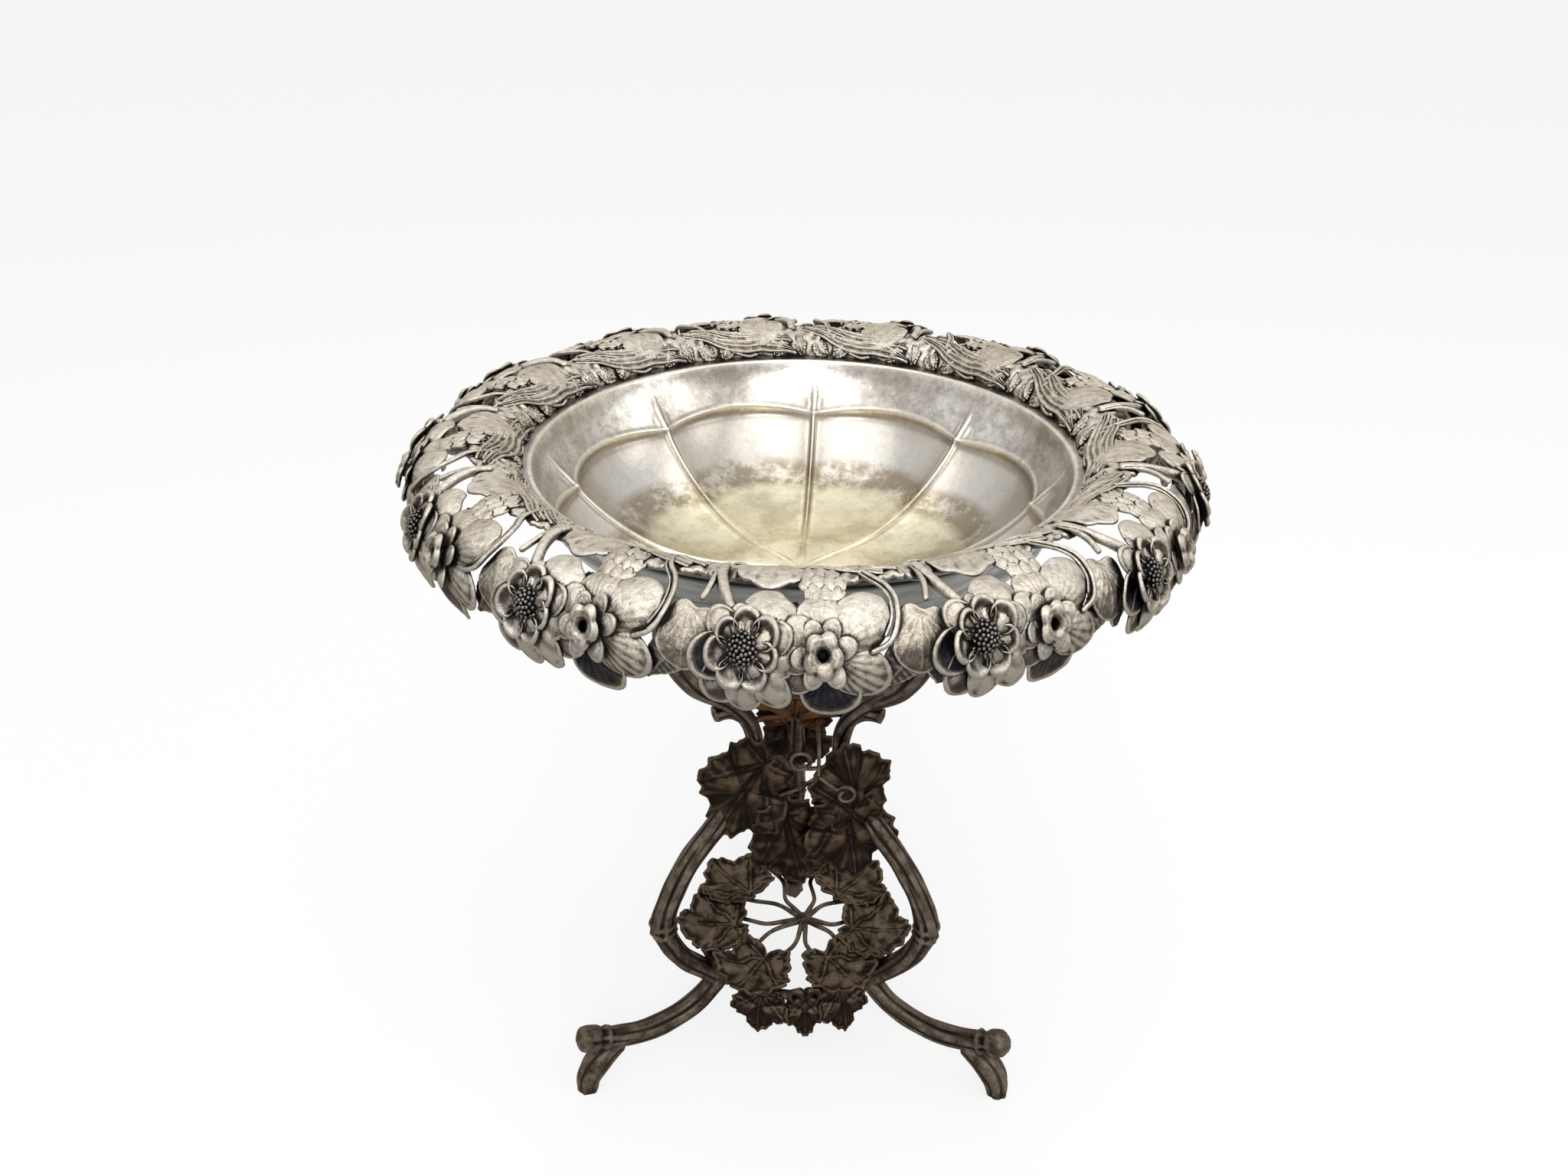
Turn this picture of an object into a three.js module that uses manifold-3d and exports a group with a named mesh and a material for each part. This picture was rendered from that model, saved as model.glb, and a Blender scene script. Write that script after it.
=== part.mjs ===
// Figural comport: a shallow lobed bowl inside a pierced border of leaves and flowers, carried by
// three branches with twig stubs, vine leaves, tendrils and a wreath with a twig star.
// Millimetres, +Z up. The front is -Y, and the origin is on the table under the bowl's axis.
// A bearing is an angle in degrees from the front, positive to the right.

import * as THREE from "three";
import { mergeVertices } from "three/addons/utils/BufferGeometryUtils.js";
import Module from "manifold-3d";

const wasm = await Module();
wasm.setup();

// Fits
const seatGap = 0.3;

// Bowl
const bowlFloorHeight = 247.5;
const bowlFloorRadius = 25;
const bowlWall = 1.3;
const lobeCount = 8;
const lobeTurn = -3.9;
const cuspRadius = 90.6;
const cuspRise = 32;
const lobeDepth = 6.4;
const lobeRise = 2.6;
const goreBulge = 3.4;
const goreLip = 1.5;
const goreArcShare = 0.786;
const mouldingRadius = 104.5;
const mouldingRise = 52.5;
const mouldingStep = 1.2;

// Border
const borderRepeats = 13;
const rollCentreRadius = 126;
const rollCentreRise = 41;
const rollRadius = 21.5;
const stripInnerArc = 50.7;
const stripOuterArc = 42;
const stripThickness = 1.8;
const fanLeafReach = 14;
const fanLeafBearing = -5;
const fanLeafHalfTurn = 5;
const flangeOverlap = 7.2;
const flowerThickness = 1.6;
const anemoneRadius = 14.4;
const anemonePetals = 6;
const anemoneDome = 5.5;
const anemoneDomeFoot = 0.9;
const anemoneCupRise = 3.2;
const heartReach = 2.6;
const heartTurn = 52;
const trumpetRadius = 16.3;
const trumpetAside = 5;
const trumpetBelow = 3;
const trumpetPetals = 4;
const corollaRadius = 7;
const corollaHeight = 6;
const corollaFoot = 1.7;
const leafThickness = 1.5;
const wideLeafHalf = 7.2;
const wideLeafBow = -1.4;
const backLeafHalf = 5;
const tuftReach = 19;
const tuftBearing = 1.9;
const tuftHalfTurn = 3.5;
const thickStemRadius = 1.9;
const thinStemRadius = 1.3;

// Fixing under the bowl
const studRadius = 3;
const studFlangeRadius = 13;
const studFlangeThickness = 1.5;
const studLength = 20;
const plateThickness = 3;
const plateHubRadius = 20;
const plateArmWidth = 13;
const washerRadius = 8;
const washerThickness = 1.3;
const nutAcrossCorners = 13;
const nutThickness = 6;

// Legs and feet
const legBearings = { left: -60, right: 60, back: 180 };
const branchRadius = 4.9;
const neckBranchRadius = 3.4;
const neckTaper = 38;
const legTopRadius = 61;
const shoulderDrop = 12;
const neckRadius = 21.5;
const neckHeight = 165;
const kneeRadius = 68.5;
const kneeHeight = 81;
const heelRadius = 43;
const heelHeight = 39;
const nodeSwell = 0.4;
const nodeTaper = 14;
const nodeRingRadius = 0.9;
const stubRadius = 2.5;
const stubEndRadius = 3;
const footForkRadius = 94;
const footForkHeight = 25;
const footTipRadius = 113;
const footTipHeight = 33.5;
const footEndRadius = 5.9;
const footCollarReach = 2.5;
const footRestRadius = 110.5;
const footRestSwell = 1.5;
const footRestSink = 4;

// Wreath
const hoopHeight = 50;
const hoopThickness = 2.5;
const hoopBite = 1;
const starOffset = 5;
const starHubHeight = 53.5;
const starTwigs = 10;
const starTwigRadius = 0.95;
const starTwigWave = 2;
const starHubRadius = 3.6;
const ringLeafLength = 35;
const ringLeafWidth = 44;
const ringLeafCup = -2.5;
const ringLeafRise = 3.3;
const ringLeafIn = 6.3;
const hangingLeafLength = 28;
const hangingLeafWidth = 26;
const hangingLeafCup = 2;
const hangingLeafOut = 4.4;
const hangingLeafDrop = 6;

// Vine leaves and tendrils
const neckLeafLength = 50;
const neckLeafWidth = 42;
const neckLeafCup = 3;
const vineLeafThickness = 1.8;
const vineLeafLobes = 5;
const vineLeafNotch = 0.1;
const vineLeafFold = 0.9;
const stalkRadius = 1.5;
const tendrilRadius = 0.9;
const leftCurlRadius = 4.6;
const rightCurlRadius = 3.8;

// How finely curved shapes are cut
const curveSteps = 60;
const nearSteps = 400;
const flowerSectors = 12;
const branchSides = 7;
const stubSides = 6;
const stalkSides = 5;
const stemSides = 4;
const wireSides = 4;
const hoopSectors = 24;
const leafSectors = 15;

// Sizes that follow from those above
const repeatAngle = 360 / borderRepeats;
const rollOuterRadius = rollCentreRadius + rollRadius;
const rollHeight = bowlFloorHeight + rollCentreRise;
const flangeDepth = stripThickness + 2 * seatGap;
const studFlangeTop = bowlFloorHeight - bowlWall - seatGap;
const plateTop = studFlangeTop - studFlangeThickness - seatGap;
const plateBottom = plateTop - plateThickness;
const washerTop = plateBottom - seatGap;
const nutTop = washerTop - washerThickness - seatGap;
const boreRadius = studRadius + seatGap;
const legTopHeight = plateBottom - seatGap;

const radians = THREE.MathUtils.degToRad;

// Closed geometry from points and triangles, turned so that its faces point out
function closedGeometry(points, triangles) {
  let volume = 0;
  for (const [a, b, c] of triangles) {
    volume += points[a].dot(points[b].clone().cross(points[c]));
  }
  const index = triangles.flatMap(([a, b, c]) => (volume > 0 ? [a, b, c] : [a, c, b]));
  const geometry = new THREE.BufferGeometry().setFromPoints(points);
  geometry.setIndex(index);
  return geometry;
}

// Closed plate between an upper and a lower grid, sewn along its four edges
function platePatch(columns, rows, upper, lower) {
  const points = [];
  const triangles = [];
  const side = (columns + 1) * (rows + 1);
  for (const surface of [upper, lower]) {
    for (let i = 0; i <= columns; i += 1) {
      for (let j = 0; j <= rows; j += 1) {
        points.push(surface(i / columns, j / rows));
      }
    }
  }
  const at = (i, j) => i * (rows + 1) + j;
  for (let i = 0; i < columns; i += 1) {
    for (let j = 0; j < rows; j += 1) {
      triangles.push([at(i, j), at(i + 1, j), at(i + 1, j + 1)]);
      triangles.push([at(i, j), at(i + 1, j + 1), at(i, j + 1)]);
      triangles.push([side + at(i, j), side + at(i + 1, j + 1), side + at(i + 1, j)]);
      triangles.push([side + at(i, j), side + at(i, j + 1), side + at(i + 1, j + 1)]);
    }
  }
  const edge = [];
  for (let i = 0; i < columns; i += 1) edge.push(at(i, 0));
  for (let j = 0; j < rows; j += 1) edge.push(at(columns, j));
  for (let i = columns; i > 0; i -= 1) edge.push(at(i, rows));
  for (let j = rows; j > 0; j -= 1) edge.push(at(0, j));
  edge.forEach((a, k) => {
    const b = edge[(k + 1) % edge.length];
    triangles.push([a, side + a, side + b]);
    triangles.push([a, side + b, b]);
  });
  return closedGeometry(points, triangles);
}

// Closed disc: an upper side of rings about a middle point, a rim, and a fan below
function plateDisc(sectors, rings, upper, lower) {
  const points = [upper(0, 0)];
  const triangles = [];
  const turn = (k) => (2 * Math.PI * k) / sectors;
  for (let ring = 1; ring <= rings; ring += 1) {
    for (let k = 0; k < sectors; k += 1) points.push(upper(ring / rings, turn(k)));
  }
  const rim = points.length;
  for (let k = 0; k < sectors; k += 1) points.push(lower(1, turn(k)));
  const under = points.length;
  points.push(lower(0, 0));
  const at = (ring, k) => 1 + (ring - 1) * sectors + (k % sectors);
  for (let k = 0; k < sectors; k += 1) {
    triangles.push([0, at(1, k), at(1, k + 1)]);
    for (let ring = 1; ring < rings; ring += 1) {
      triangles.push([at(ring, k), at(ring + 1, k), at(ring + 1, k + 1)]);
      triangles.push([at(ring, k), at(ring + 1, k + 1), at(ring, k + 1)]);
    }
    const low = rim + k;
    const next = rim + ((k + 1) % sectors);
    triangles.push([at(rings, k), low, next]);
    triangles.push([at(rings, k), next, at(rings, k + 1)]);
    triangles.push([low, under, next]);
  }
  return closedGeometry(points, triangles);
}

// Shares of a length, from nothing to one in even steps
function evenly(steps) {
  return Array.from({ length: steps + 1 }, (_, i) => i / steps);
}

function smoothCurve(route) {
  return new THREE.CatmullRomCurve3(route, false, "centripetal");
}

// Round limb along a smooth curve: rows at shares of its length, each with its own radius
function limb(route, shares, sides, radiusAt) {
  const curve = smoothCurve(route);
  const frames = curve.computeFrenetFrames(curveSteps, false);
  const points = [];
  const triangles = [];
  const steps = shares.length - 1;
  for (const share of shares) {
    const middle = curve.getPointAt(share);
    const step = Math.round(share * curveSteps);
    for (let k = 0; k < sides; k += 1) {
      const turn = (2 * Math.PI * k) / sides;
      const out = frames.normals[step].clone().multiplyScalar(Math.cos(turn));
      out.addScaledVector(frames.binormals[step], Math.sin(turn));
      points.push(middle.clone().addScaledVector(out, radiusAt(share, middle)));
    }
  }
  const at = (i, k) => i * sides + (k % sides);
  for (let i = 0; i < steps; i += 1) {
    for (let k = 0; k < sides; k += 1) {
      triangles.push([at(i, k), at(i, k + 1), at(i + 1, k + 1)]);
      triangles.push([at(i, k), at(i + 1, k + 1), at(i + 1, k)]);
    }
  }
  for (let k = 1; k < sides - 1; k += 1) {
    triangles.push([at(0, 0), at(0, k + 1), at(0, k)]);
    triangles.push([at(steps, 0), at(steps, k), at(steps, k + 1)]);
  }
  return closedGeometry(points, triangles);
}

// Geometry as a solid for joining and cutting, and back
function toSolid(geometry) {
  const plain = geometry.clone();
  plain.deleteAttribute("normal");
  plain.deleteAttribute("uv");
  const merged = mergeVertices(plain, 1e-4);
  const vertProperties = new Float32Array(merged.attributes.position.array);
  const triVerts = new Uint32Array(merged.index.array);
  return new wasm.Manifold(new wasm.Mesh({ numProp: 3, vertProperties, triVerts }));
}

function toGeometry(solid) {
  const { vertProperties, triVerts } = solid.getMesh();
  const geometry = new THREE.BufferGeometry();
  geometry.setAttribute("position", new THREE.BufferAttribute(new Float32Array(vertProperties), 3));
  geometry.setIndex(new THREE.BufferAttribute(new Uint32Array(triVerts), 1));
  return geometry;
}

function joined(geometries) {
  return geometries.map(toSolid).reduce((whole, piece) => whole.add(piece));
}

// The same geometry with each face moved out by a clearance
function grown(geometry, clearance) {
  const plain = geometry.clone();
  plain.deleteAttribute("normal");
  plain.deleteAttribute("uv");
  const merged = mergeVertices(plain, 1e-4);
  const position = merged.attributes.position;
  const corners = merged.index.array;
  const sums = Array.from({ length: position.count }, () => new THREE.Vector3());
  const faces = Array.from({ length: position.count }, () => []);
  for (let f = 0; f < corners.length; f += 3) {
    const three = [corners[f], corners[f + 1], corners[f + 2]];
    const [a, b, c] = three.map((v) => new THREE.Vector3().fromBufferAttribute(position, v));
    const normal = b.sub(a).cross(c.sub(a)).normalize();
    for (const v of three) {
      sums[v].add(normal);
      faces[v].push(normal);
    }
  }
  sums.forEach((sum, v) => {
    const way = sum.normalize();
    const lean = Math.max(0.4, Math.min(...faces[v].map((normal) => normal.dot(way))));
    const moved = new THREE.Vector3().fromBufferAttribute(position, v);
    moved.addScaledVector(way, clearance / lean);
    position.setXYZ(v, moved.x, moved.y, moved.z);
  });
  return merged;
}

function largestBody(solid) {
  return solid.decompose().reduce((most, body) => (body.volume() > most.volume() ? body : most));
}

// What is left of a piece beside its neighbours, with the seat gap between them
function seated(pieceParts, neighbourParts) {
  let solid = joined(pieceParts);
  for (const neighbour of neighbourParts) {
    solid = solid.subtract(toSolid(grown(neighbour, seatGap)));
  }
  return toGeometry(largestBody(solid));
}

function turned(geometry, bearing) {
  return geometry.clone().rotateZ(radians(bearing));
}

function atBearing(bearing, radius, height) {
  const angle = radians(bearing);
  return new THREE.Vector3(radius * Math.sin(angle), -radius * Math.cos(angle), height);
}

// A place on the border's roll: bearing, arc length up from its widest line, height off it
function onRoll(bearing, arc, lift) {
  const lean = arc / rollRadius;
  const reach = rollRadius + lift;
  const radius = rollCentreRadius + reach * Math.cos(lean);
  return atBearing(bearing, radius, rollHeight + reach * Math.sin(lean));
}

// A length along the widest line of the roll as a bearing
function alongRoll(length) {
  return THREE.MathUtils.radToDeg(length / rollOuterRadius);
}

// Bowl: one section per bearing, spun from the floor's middle over the rim and back underneath
function bowlSection(bearing) {
  const lobeWave = Math.abs(Math.sin(radians(((bearing - lobeTurn) * lobeCount) / 2)));
  const ringRadius = cuspRadius + lobeDepth * lobeWave;
  const ringRise = cuspRise + lobeRise * lobeWave;
  const inside = [[0, 0]];
  const arcFull = 1 - Math.sqrt(1 - goreArcShare ** 2);
  for (const share of [0, 0.35, 0.7, 0.93, 1]) {
    const arcHere = 1 - Math.sqrt(1 - (share * goreArcShare) ** 2);
    const slope = Math.asin(share * goreArcShare) * 0.8;
    const lip = share < 1 ? goreLip * share : 0;
    const bulge = lobeWave * (goreBulge * Math.sin(Math.PI * share) + lip);
    const radius = bowlFloorRadius + (ringRadius - bowlFloorRadius) * share;
    const rise = (ringRise * arcHere) / arcFull;
    inside.push([radius + bulge * Math.sin(slope), rise - bulge * Math.cos(slope)]);
  }
  const bandRadius = THREE.MathUtils.lerp(ringRadius, mouldingRadius, 0.62);
  const bandRise = THREE.MathUtils.lerp(ringRise, mouldingRise, 0.45);
  inside.push([bandRadius, bandRise], [mouldingRadius, mouldingRise]);
  for (const arc of [stripInnerArc + 1, stripInnerArc + 1 - flangeOverlap]) {
    const reach = rollRadius - flangeDepth;
    const lean = arc / rollRadius;
    inside.push([
      rollCentreRadius + reach * Math.cos(lean),
      rollCentreRise + reach * Math.sin(lean),
    ]);
  }
  inside.splice(-2, 0, [mouldingRadius + mouldingStep, mouldingRise + 0.4]);
  const last = inside.length - 1;
  const outside = inside.map(([radius, rise], k) => {
    const before = inside[Math.max(k - 1, 0)];
    const after = inside[Math.min(k + 1, last)];
    const run = new THREE.Vector2(after[0] - before[0], after[1] - before[1]).normalize();
    const middle = k === 0 ? 0 : 1;
    return [radius + run.y * bowlWall * middle, rise - run.x * bowlWall];
  });
  return [...inside, ...outside.reverse()];
}

function bowlGeometry() {
  const sectors = lobeCount * 4;
  const points = [];
  const triangles = [];
  const sections = Array.from({ length: sectors }, (_, k) => {
    const bearing = lobeTurn + (360 * k) / sectors;
    const section = bowlSection(bearing);
    return section.map(([radius, rise]) => atBearing(bearing, radius, bowlFloorHeight + rise));
  });
  const rows = sections[0].length;
  points.push(sections[0][0], sections[0][rows - 1]);
  sections.forEach((section) => points.push(...section.slice(1, rows - 1)));
  const at = (k, row) => 2 + (k % sectors) * (rows - 2) + row - 1;
  for (let k = 0; k < sectors; k += 1) {
    triangles.push([0, at(k, 1), at(k + 1, 1)]);
    triangles.push([1, at(k + 1, rows - 2), at(k, rows - 2)]);
    for (let row = 1; row < rows - 2; row += 1) {
      triangles.push([at(k, row), at(k, row + 1), at(k + 1, row + 1)]);
      triangles.push([at(k, row), at(k + 1, row + 1), at(k + 1, row)]);
    }
  }
  return closedGeometry(points, triangles);
}

// Border casting: inner leaf strip with a fan leaf and an acanthus tuft, two stems, a leaf pair
// and a trumpet flower
const stemRootBearing = -10.6;
const trumpetBearing = 2.2;
const trumpetArc = 10;
const stemEndLift = -0.6;
const anemoneBearing = -7.5;
const anemoneArc = 8.5;

// A smooth rise from nothing to one and back within a half width
function hump(from, halfWidth) {
  return Math.abs(from) < halfWidth ? Math.cos((Math.PI / 2) * (from / halfWidth)) : 0;
}

function leafStrip() {
  const half = repeatAngle / 2;
  const edgeGap = alongRoll(seatGap / 2) * (rollOuterRadius / (rollCentreRadius - rollRadius));
  const bearingAt = (share) => THREE.MathUtils.lerp(-half + edgeGap, half - edgeGap, share);
  const place = (column, row, lift) => {
    const bearing = bearingAt(column);
    const fan = fanLeafReach * hump(bearing - fanLeafBearing, fanLeafHalfTurn);
    const tuft = tuftReach * hump(bearing - tuftBearing, tuftHalfTurn);
    const arcs = [stripInnerArc, stripInnerArc + 1 - flangeOverlap, stripOuterArc - fan - tuft];
    const arc = arcs[Math.round(2 * row)];
    const wave = 0.5 * Math.cos(radians(bearing * 40)) * row;
    return onRoll(bearing, arc, lift + wave);
  };
  const upper = (column, row) => place(column, row, 0);
  const lower = (column, row) => place(column, row, -stripThickness);
  return platePatch(7, 2, upper, lower);
}

// A disc on the roll with its middle at a bearing and an arc
function discOnRoll(bearing, arc, sectors, rings, reach, lift, thickness) {
  const place = (share, turn, raise) => {
    const out = reach(share, turn);
    const aside = alongRoll(out * Math.cos(turn));
    return onRoll(bearing + aside, arc + out * Math.sin(turn), raise);
  };
  const upper = (share, turn) => place(share, turn, lift(share, turn));
  const lower = (share, turn) => place(share, turn, lift(1, turn) - thickness);
  return plateDisc(sectors, rings, upper, lower);
}

// Trumpet flower: a raised mouth near one side of a disc of ruffled petals
function trumpetFlower() {
  const mouth = corollaRadius * 0.62;
  const petalWave = (turn) => Math.cos(trumpetPetals * turn);
  const reach = (share, turn) => {
    if (share < 0.5) return share === 0 ? 0 : mouth;
    if (share < 1) return corollaRadius;
    const across = trumpetAside * Math.sin(turn) + trumpetBelow * Math.cos(turn);
    const ahead = trumpetAside * Math.cos(turn) - trumpetBelow * Math.sin(turn);
    const outline = ahead + Math.sqrt(trumpetRadius ** 2 - across ** 2);
    return outline * (1 + 0.07 * petalWave(turn));
  };
  const lift = (share, turn) => {
    if (share === 0) return corollaHeight * 0.35;
    if (share < 0.5) return corollaHeight;
    return share < 1 ? corollaFoot : 0.4 + 0.6 * petalWave(turn);
  };
  const thickness = flowerThickness + 0.4;
  return discOnRoll(trumpetBearing, trumpetArc, flowerSectors, 3, reach, lift, thickness);
}

// A pointed leaf on the roll, from its stem end to its tip, with a raised midrib
function leafOnRoll(from, to, halfWidth, bow, lift, steps) {
  const place = (along, across, raise) => {
    const width = halfWidth * (0.12 + 0.88 * Math.sin(Math.PI * Math.min(0.96, along + 0.06)));
    const bowHere = bow * Math.sin(Math.PI * along);
    const bearing = THREE.MathUtils.lerp(from[0], to[0], along) + bowHere;
    const arc = THREE.MathUtils.lerp(from[1], to[1], along);
    const side = 2 * across - 1;
    const rib = 0.8 * (1 - Math.abs(side));
    return onRoll(bearing + alongRoll(width * side), arc, lift + rib + raise);
  };
  const upper = (along, across) => place(along, across, 0);
  const lower = (along, across) => place(along, across, -leafThickness);
  return platePatch(steps, 2, upper, lower);
}

function stemOnRoll(places, steps, radius) {
  const route = places.map(([bearing, arc, lift]) => onRoll(bearing, arc, lift));
  return limb(route, evenly(steps), stemSides, () => radius);
}

// Stems as bearings, arcs and lifts, running down from under the strip
const thickStemPlaces = [
  [stemRootBearing, stripOuterArc + 1.8, 0.1],
  [stemRootBearing - 0.2, 31, -0.4],
  [stemRootBearing + 1.2, 15, stemEndLift],
];
const thinStemPlaces = [
  [9.4, stripOuterArc + 2.2, -0.4],
  [10.9, 28, 0.4],
  [9.6, 16.5, 0.6],
  [7, 8, 0.2],
];

function castingParts() {
  const thickStem = stemOnRoll(thickStemPlaces, 3, thickStemRadius);
  const thinStem = stemOnRoll(thinStemPlaces, 4, thinStemRadius);
  const wideLeafRoot = [stemRootBearing - 0.6, stripOuterArc + 1];
  const wideLeaf = leafOnRoll(wideLeafRoot, [-13.8, 0], wideLeafHalf, wideLeafBow, 0, 4);
  const backLeaf = leafOnRoll([-14, 8], [-14.8, -7.5], backLeafHalf, 0, -0.8, 2);
  return [leafStrip(), thickStem, thinStem, wideLeaf, backLeaf, trumpetFlower()];
}

const castingGeometry = toGeometry(joined(castingParts()));

// Beaded flower: a dome of beads in a ring of cupped petals over six ridged petals, with one
// smooth heart petal that reaches further
function anemoneGeometry() {
  const wave = (turn) => Math.cos(anemonePetals * turn);
  const heart = (turn) => heartReach * Math.max(0, Math.cos(turn - radians(heartTurn))) ** 6;
  const reach = (share, turn) => {
    if (share < 0.5) return share * anemoneRadius;
    const upright = 1 + 0.2 * Math.sin(turn) ** 2;
    return share * (anemoneRadius * (1 + 0.1 * wave(turn)) * upright + heart(turn));
  };
  const sag = anemoneRadius ** 2 / (8 * rollRadius);
  const standOff = thickStemRadius + stemEndLift + seatGap + sag;
  const lift = (share, turn) => {
    if (share === 0) return standOff + anemoneDome;
    if (share < 0.5) return standOff + anemoneDomeFoot + flowerThickness;
    if (share < 1) return standOff + anemoneCupRise + 0.9 * wave(turn);
    return standOff + flowerThickness;
  };
  return discOnRoll(anemoneBearing, anemoneArc, flowerSectors, 3, reach, lift, flowerThickness);
}

const anemone = anemoneGeometry();

// Branches, drawn at the front as radius and height, then turned to their bearings
function drawnAtFront(places) {
  return places.map(([radius, height]) => new THREE.Vector3(0, -radius, height));
}

// Places of a branch between two others, given as shares of the way in radius and in height
function bend(from, to, shares) {
  const between = THREE.MathUtils.lerp;
  return shares.map(([aside, down]) => [between(from[0], to[0], aside), between(from[1], to[1], down)]);
}

// Share of a curve's length at which it passes nearest to a spot
function shareNear(curve, spot) {
  const distances = curve.getSpacedPoints(nearSteps).map((point) => point.distanceTo(spot));
  return distances.indexOf(Math.min(...distances)) / nearSteps;
}

// Shares of a limb's length, with three more for a ring round it in place of those nearby
function withRing(shares, middle, halfWidth) {
  const apart = shares.filter((share) => Math.abs(share - middle) > 2 * halfWidth);
  return [...apart, middle - halfWidth, middle, middle + halfWidth].sort((a, b) => a - b);
}

const shoulder = [legTopRadius, legTopHeight - shoulderDrop];
const neck = [neckRadius, neckHeight];
const knee = [kneeRadius, kneeHeight];
const heel = [heelRadius, heelHeight];
const footFork = [footForkRadius, footForkHeight];
const footTip = [footTipRadius, footTipHeight];

const legRoute = drawnAtFront([
  [legTopRadius, legTopHeight],
  shoulder,
  ...bend(shoulder, neck, [[0.29, 0.36], [0.68, 0.58], [0.92, 0.78]]),
  neck,
  ...bend(neck, knee, [[0.07, 0.18], [0.29, 0.36], [0.72, 0.63], [0.96, 0.88]]),
  knee,
  ...bend(knee, heel, [[0.1, 0.23], [0.33, 0.52]]),
  heel,
]);
const legCurve = smoothCurve(legRoute);

function legParts() {
  const [kneeSpot] = drawnAtFront([knee]);
  const kneeShare = shareNear(legCurve, kneeSpot);
  const shares = withRing(evenly(17), kneeShare, nodeRingRadius / legCurve.getLength());
  const main = limb(legRoute, shares, branchSides, (share, middle) => {
    const slimmer = (branchRadius - neckBranchRadius) * hump(middle.z - neckHeight, neckTaper);
    const ring = share === kneeShare ? nodeRingRadius : 0;
    return branchRadius - slimmer + ring + nodeSwell * hump(middle.z - kneeHeight, nodeTaper);
  });
  const stubRoute = drawnAtFront(bend(neck, shoulder, [[0.11, 0.22], [0.28, 0.3], [0.43, 0.32]]));
  const stubSize = (share) => THREE.MathUtils.lerp(stubRadius, stubEndRadius, share);
  return [main, limb(stubRoute, evenly(3), stubSides, stubSize)];
}

// Foot branch: an upper stub with a collar and a rounded end, and a swollen stub on the table
function footParts(heelParts) {
  const route = drawnAtFront([
    ...bend(heel, footFork, [[-0.06, 0.07], [0.18, 0.86], [0.45, 1.2], [0.76, 1.24]]),
    footFork,
    footTip,
  ]);
  const length = smoothCurve(route).getLength();
  const collar = 1 - (footEndRadius * footCollarReach) / length;
  const bulb = [1.55, 1, 0.45, 0.1].map((radii) => 1 - (radii * footEndRadius) / length);
  const along = evenly(8).filter((share) => share < collar);
  const shares = [...withRing(along, collar, nodeRingRadius / length), ...bulb];
  const main = limb(route, shares, branchSides, (share) => {
    if (share === collar) return branchRadius + nodeRingRadius;
    const past = ((1 - share) * length) / footEndRadius;
    if (past > 1.5) return branchRadius;
    return footEndRadius * Math.sqrt(1 - (1 - past) ** 2);
  });
  const bottom = [footRestRadius, -footRestSink];
  const restBends = bend(footFork, bottom, [[-0.1, 0.07], [0.52, 0.31], [0.88, 0.57]]);
  const restSize = (share) => branchRadius + footRestSwell * Math.sin(Math.PI * share);
  const rest = limb(drawnAtFront([...restBends, bottom]), evenly(4), branchSides, restSize);
  const table = new THREE.BoxGeometry(200, 400, 20).translate(0, 0, -10);
  const whole = joined([main, rest]).subtract(toSolid(table));
  return heelParts.reduce((left, part) => left.subtract(toSolid(grown(part, seatGap))), whole);
}

const leg = legParts();
const legGeometry = toGeometry(joined(leg));
const footGeometry = toGeometry(largestBody(footParts(leg)));
const legsAround = Object.values(legBearings).map((bearing) => turned(legGeometry, bearing));
const feetAround = Object.values(legBearings).map((bearing) => turned(footGeometry, bearing));

// Fixing: three-armed plate on the branches' ends, stud soldered under the bowl, washer and nut
function plateGeometry() {
  const outline = new THREE.Shape();
  const reach = legTopRadius + branchRadius;
  const half = plateArmWidth / 2;
  const turns = Object.values(legBearings).map((bearing) => radians(bearing - 90));
  turns.forEach((turn, k) => {
    const way = new THREE.Vector2(Math.cos(turn), Math.sin(turn));
    const side = new THREE.Vector2(-way.y, way.x);
    const near = Math.sqrt(plateHubRadius ** 2 - half ** 2);
    const stops = [[near, -half], [reach - half, -half], [reach, 0], [reach - half, half], [near, half]];
    for (const [along, across] of stops) {
      const spot = way.clone().multiplyScalar(along).addScaledVector(side, across);
      if (k === 0 && along === near && across < 0) outline.moveTo(spot.x, spot.y);
      else outline.lineTo(spot.x, spot.y);
    }
    const open = Math.asin(half / plateHubRadius);
    outline.absarc(0, 0, plateHubRadius, turn + open, turn + (2 * Math.PI) / 3 - open);
  });
  const bore = new THREE.Path();
  bore.absarc(0, 0, boreRadius, 0, 2 * Math.PI, true);
  outline.holes.push(bore);
  const options = { depth: plateThickness, bevelEnabled: false, curveSegments: 4 };
  return new THREE.ExtrudeGeometry(outline, options).translate(0, 0, plateBottom);
}

function spunAbout(profile, segments) {
  const points = profile.map(([radius, height]) => new THREE.Vector2(radius, height));
  return new THREE.LatheGeometry(points, segments).rotateX(Math.PI / 2);
}

function studGeometry() {
  const flangeBottom = studFlangeTop - studFlangeThickness;
  const end = studFlangeTop - studLength;
  return spunAbout([
    [0, end],
    [studRadius - 0.6, end],
    [studRadius, end + 0.8],
    [studRadius, flangeBottom],
    [studFlangeRadius, flangeBottom],
    [studFlangeRadius, studFlangeTop],
    [0, studFlangeTop],
  ], 12);
}

function washerGeometry() {
  const low = washerTop - washerThickness;
  return spunAbout([
    [boreRadius, low],
    [washerRadius, low],
    [washerRadius, washerTop],
    [boreRadius, washerTop],
    [boreRadius, low],
  ], 12);
}

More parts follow.
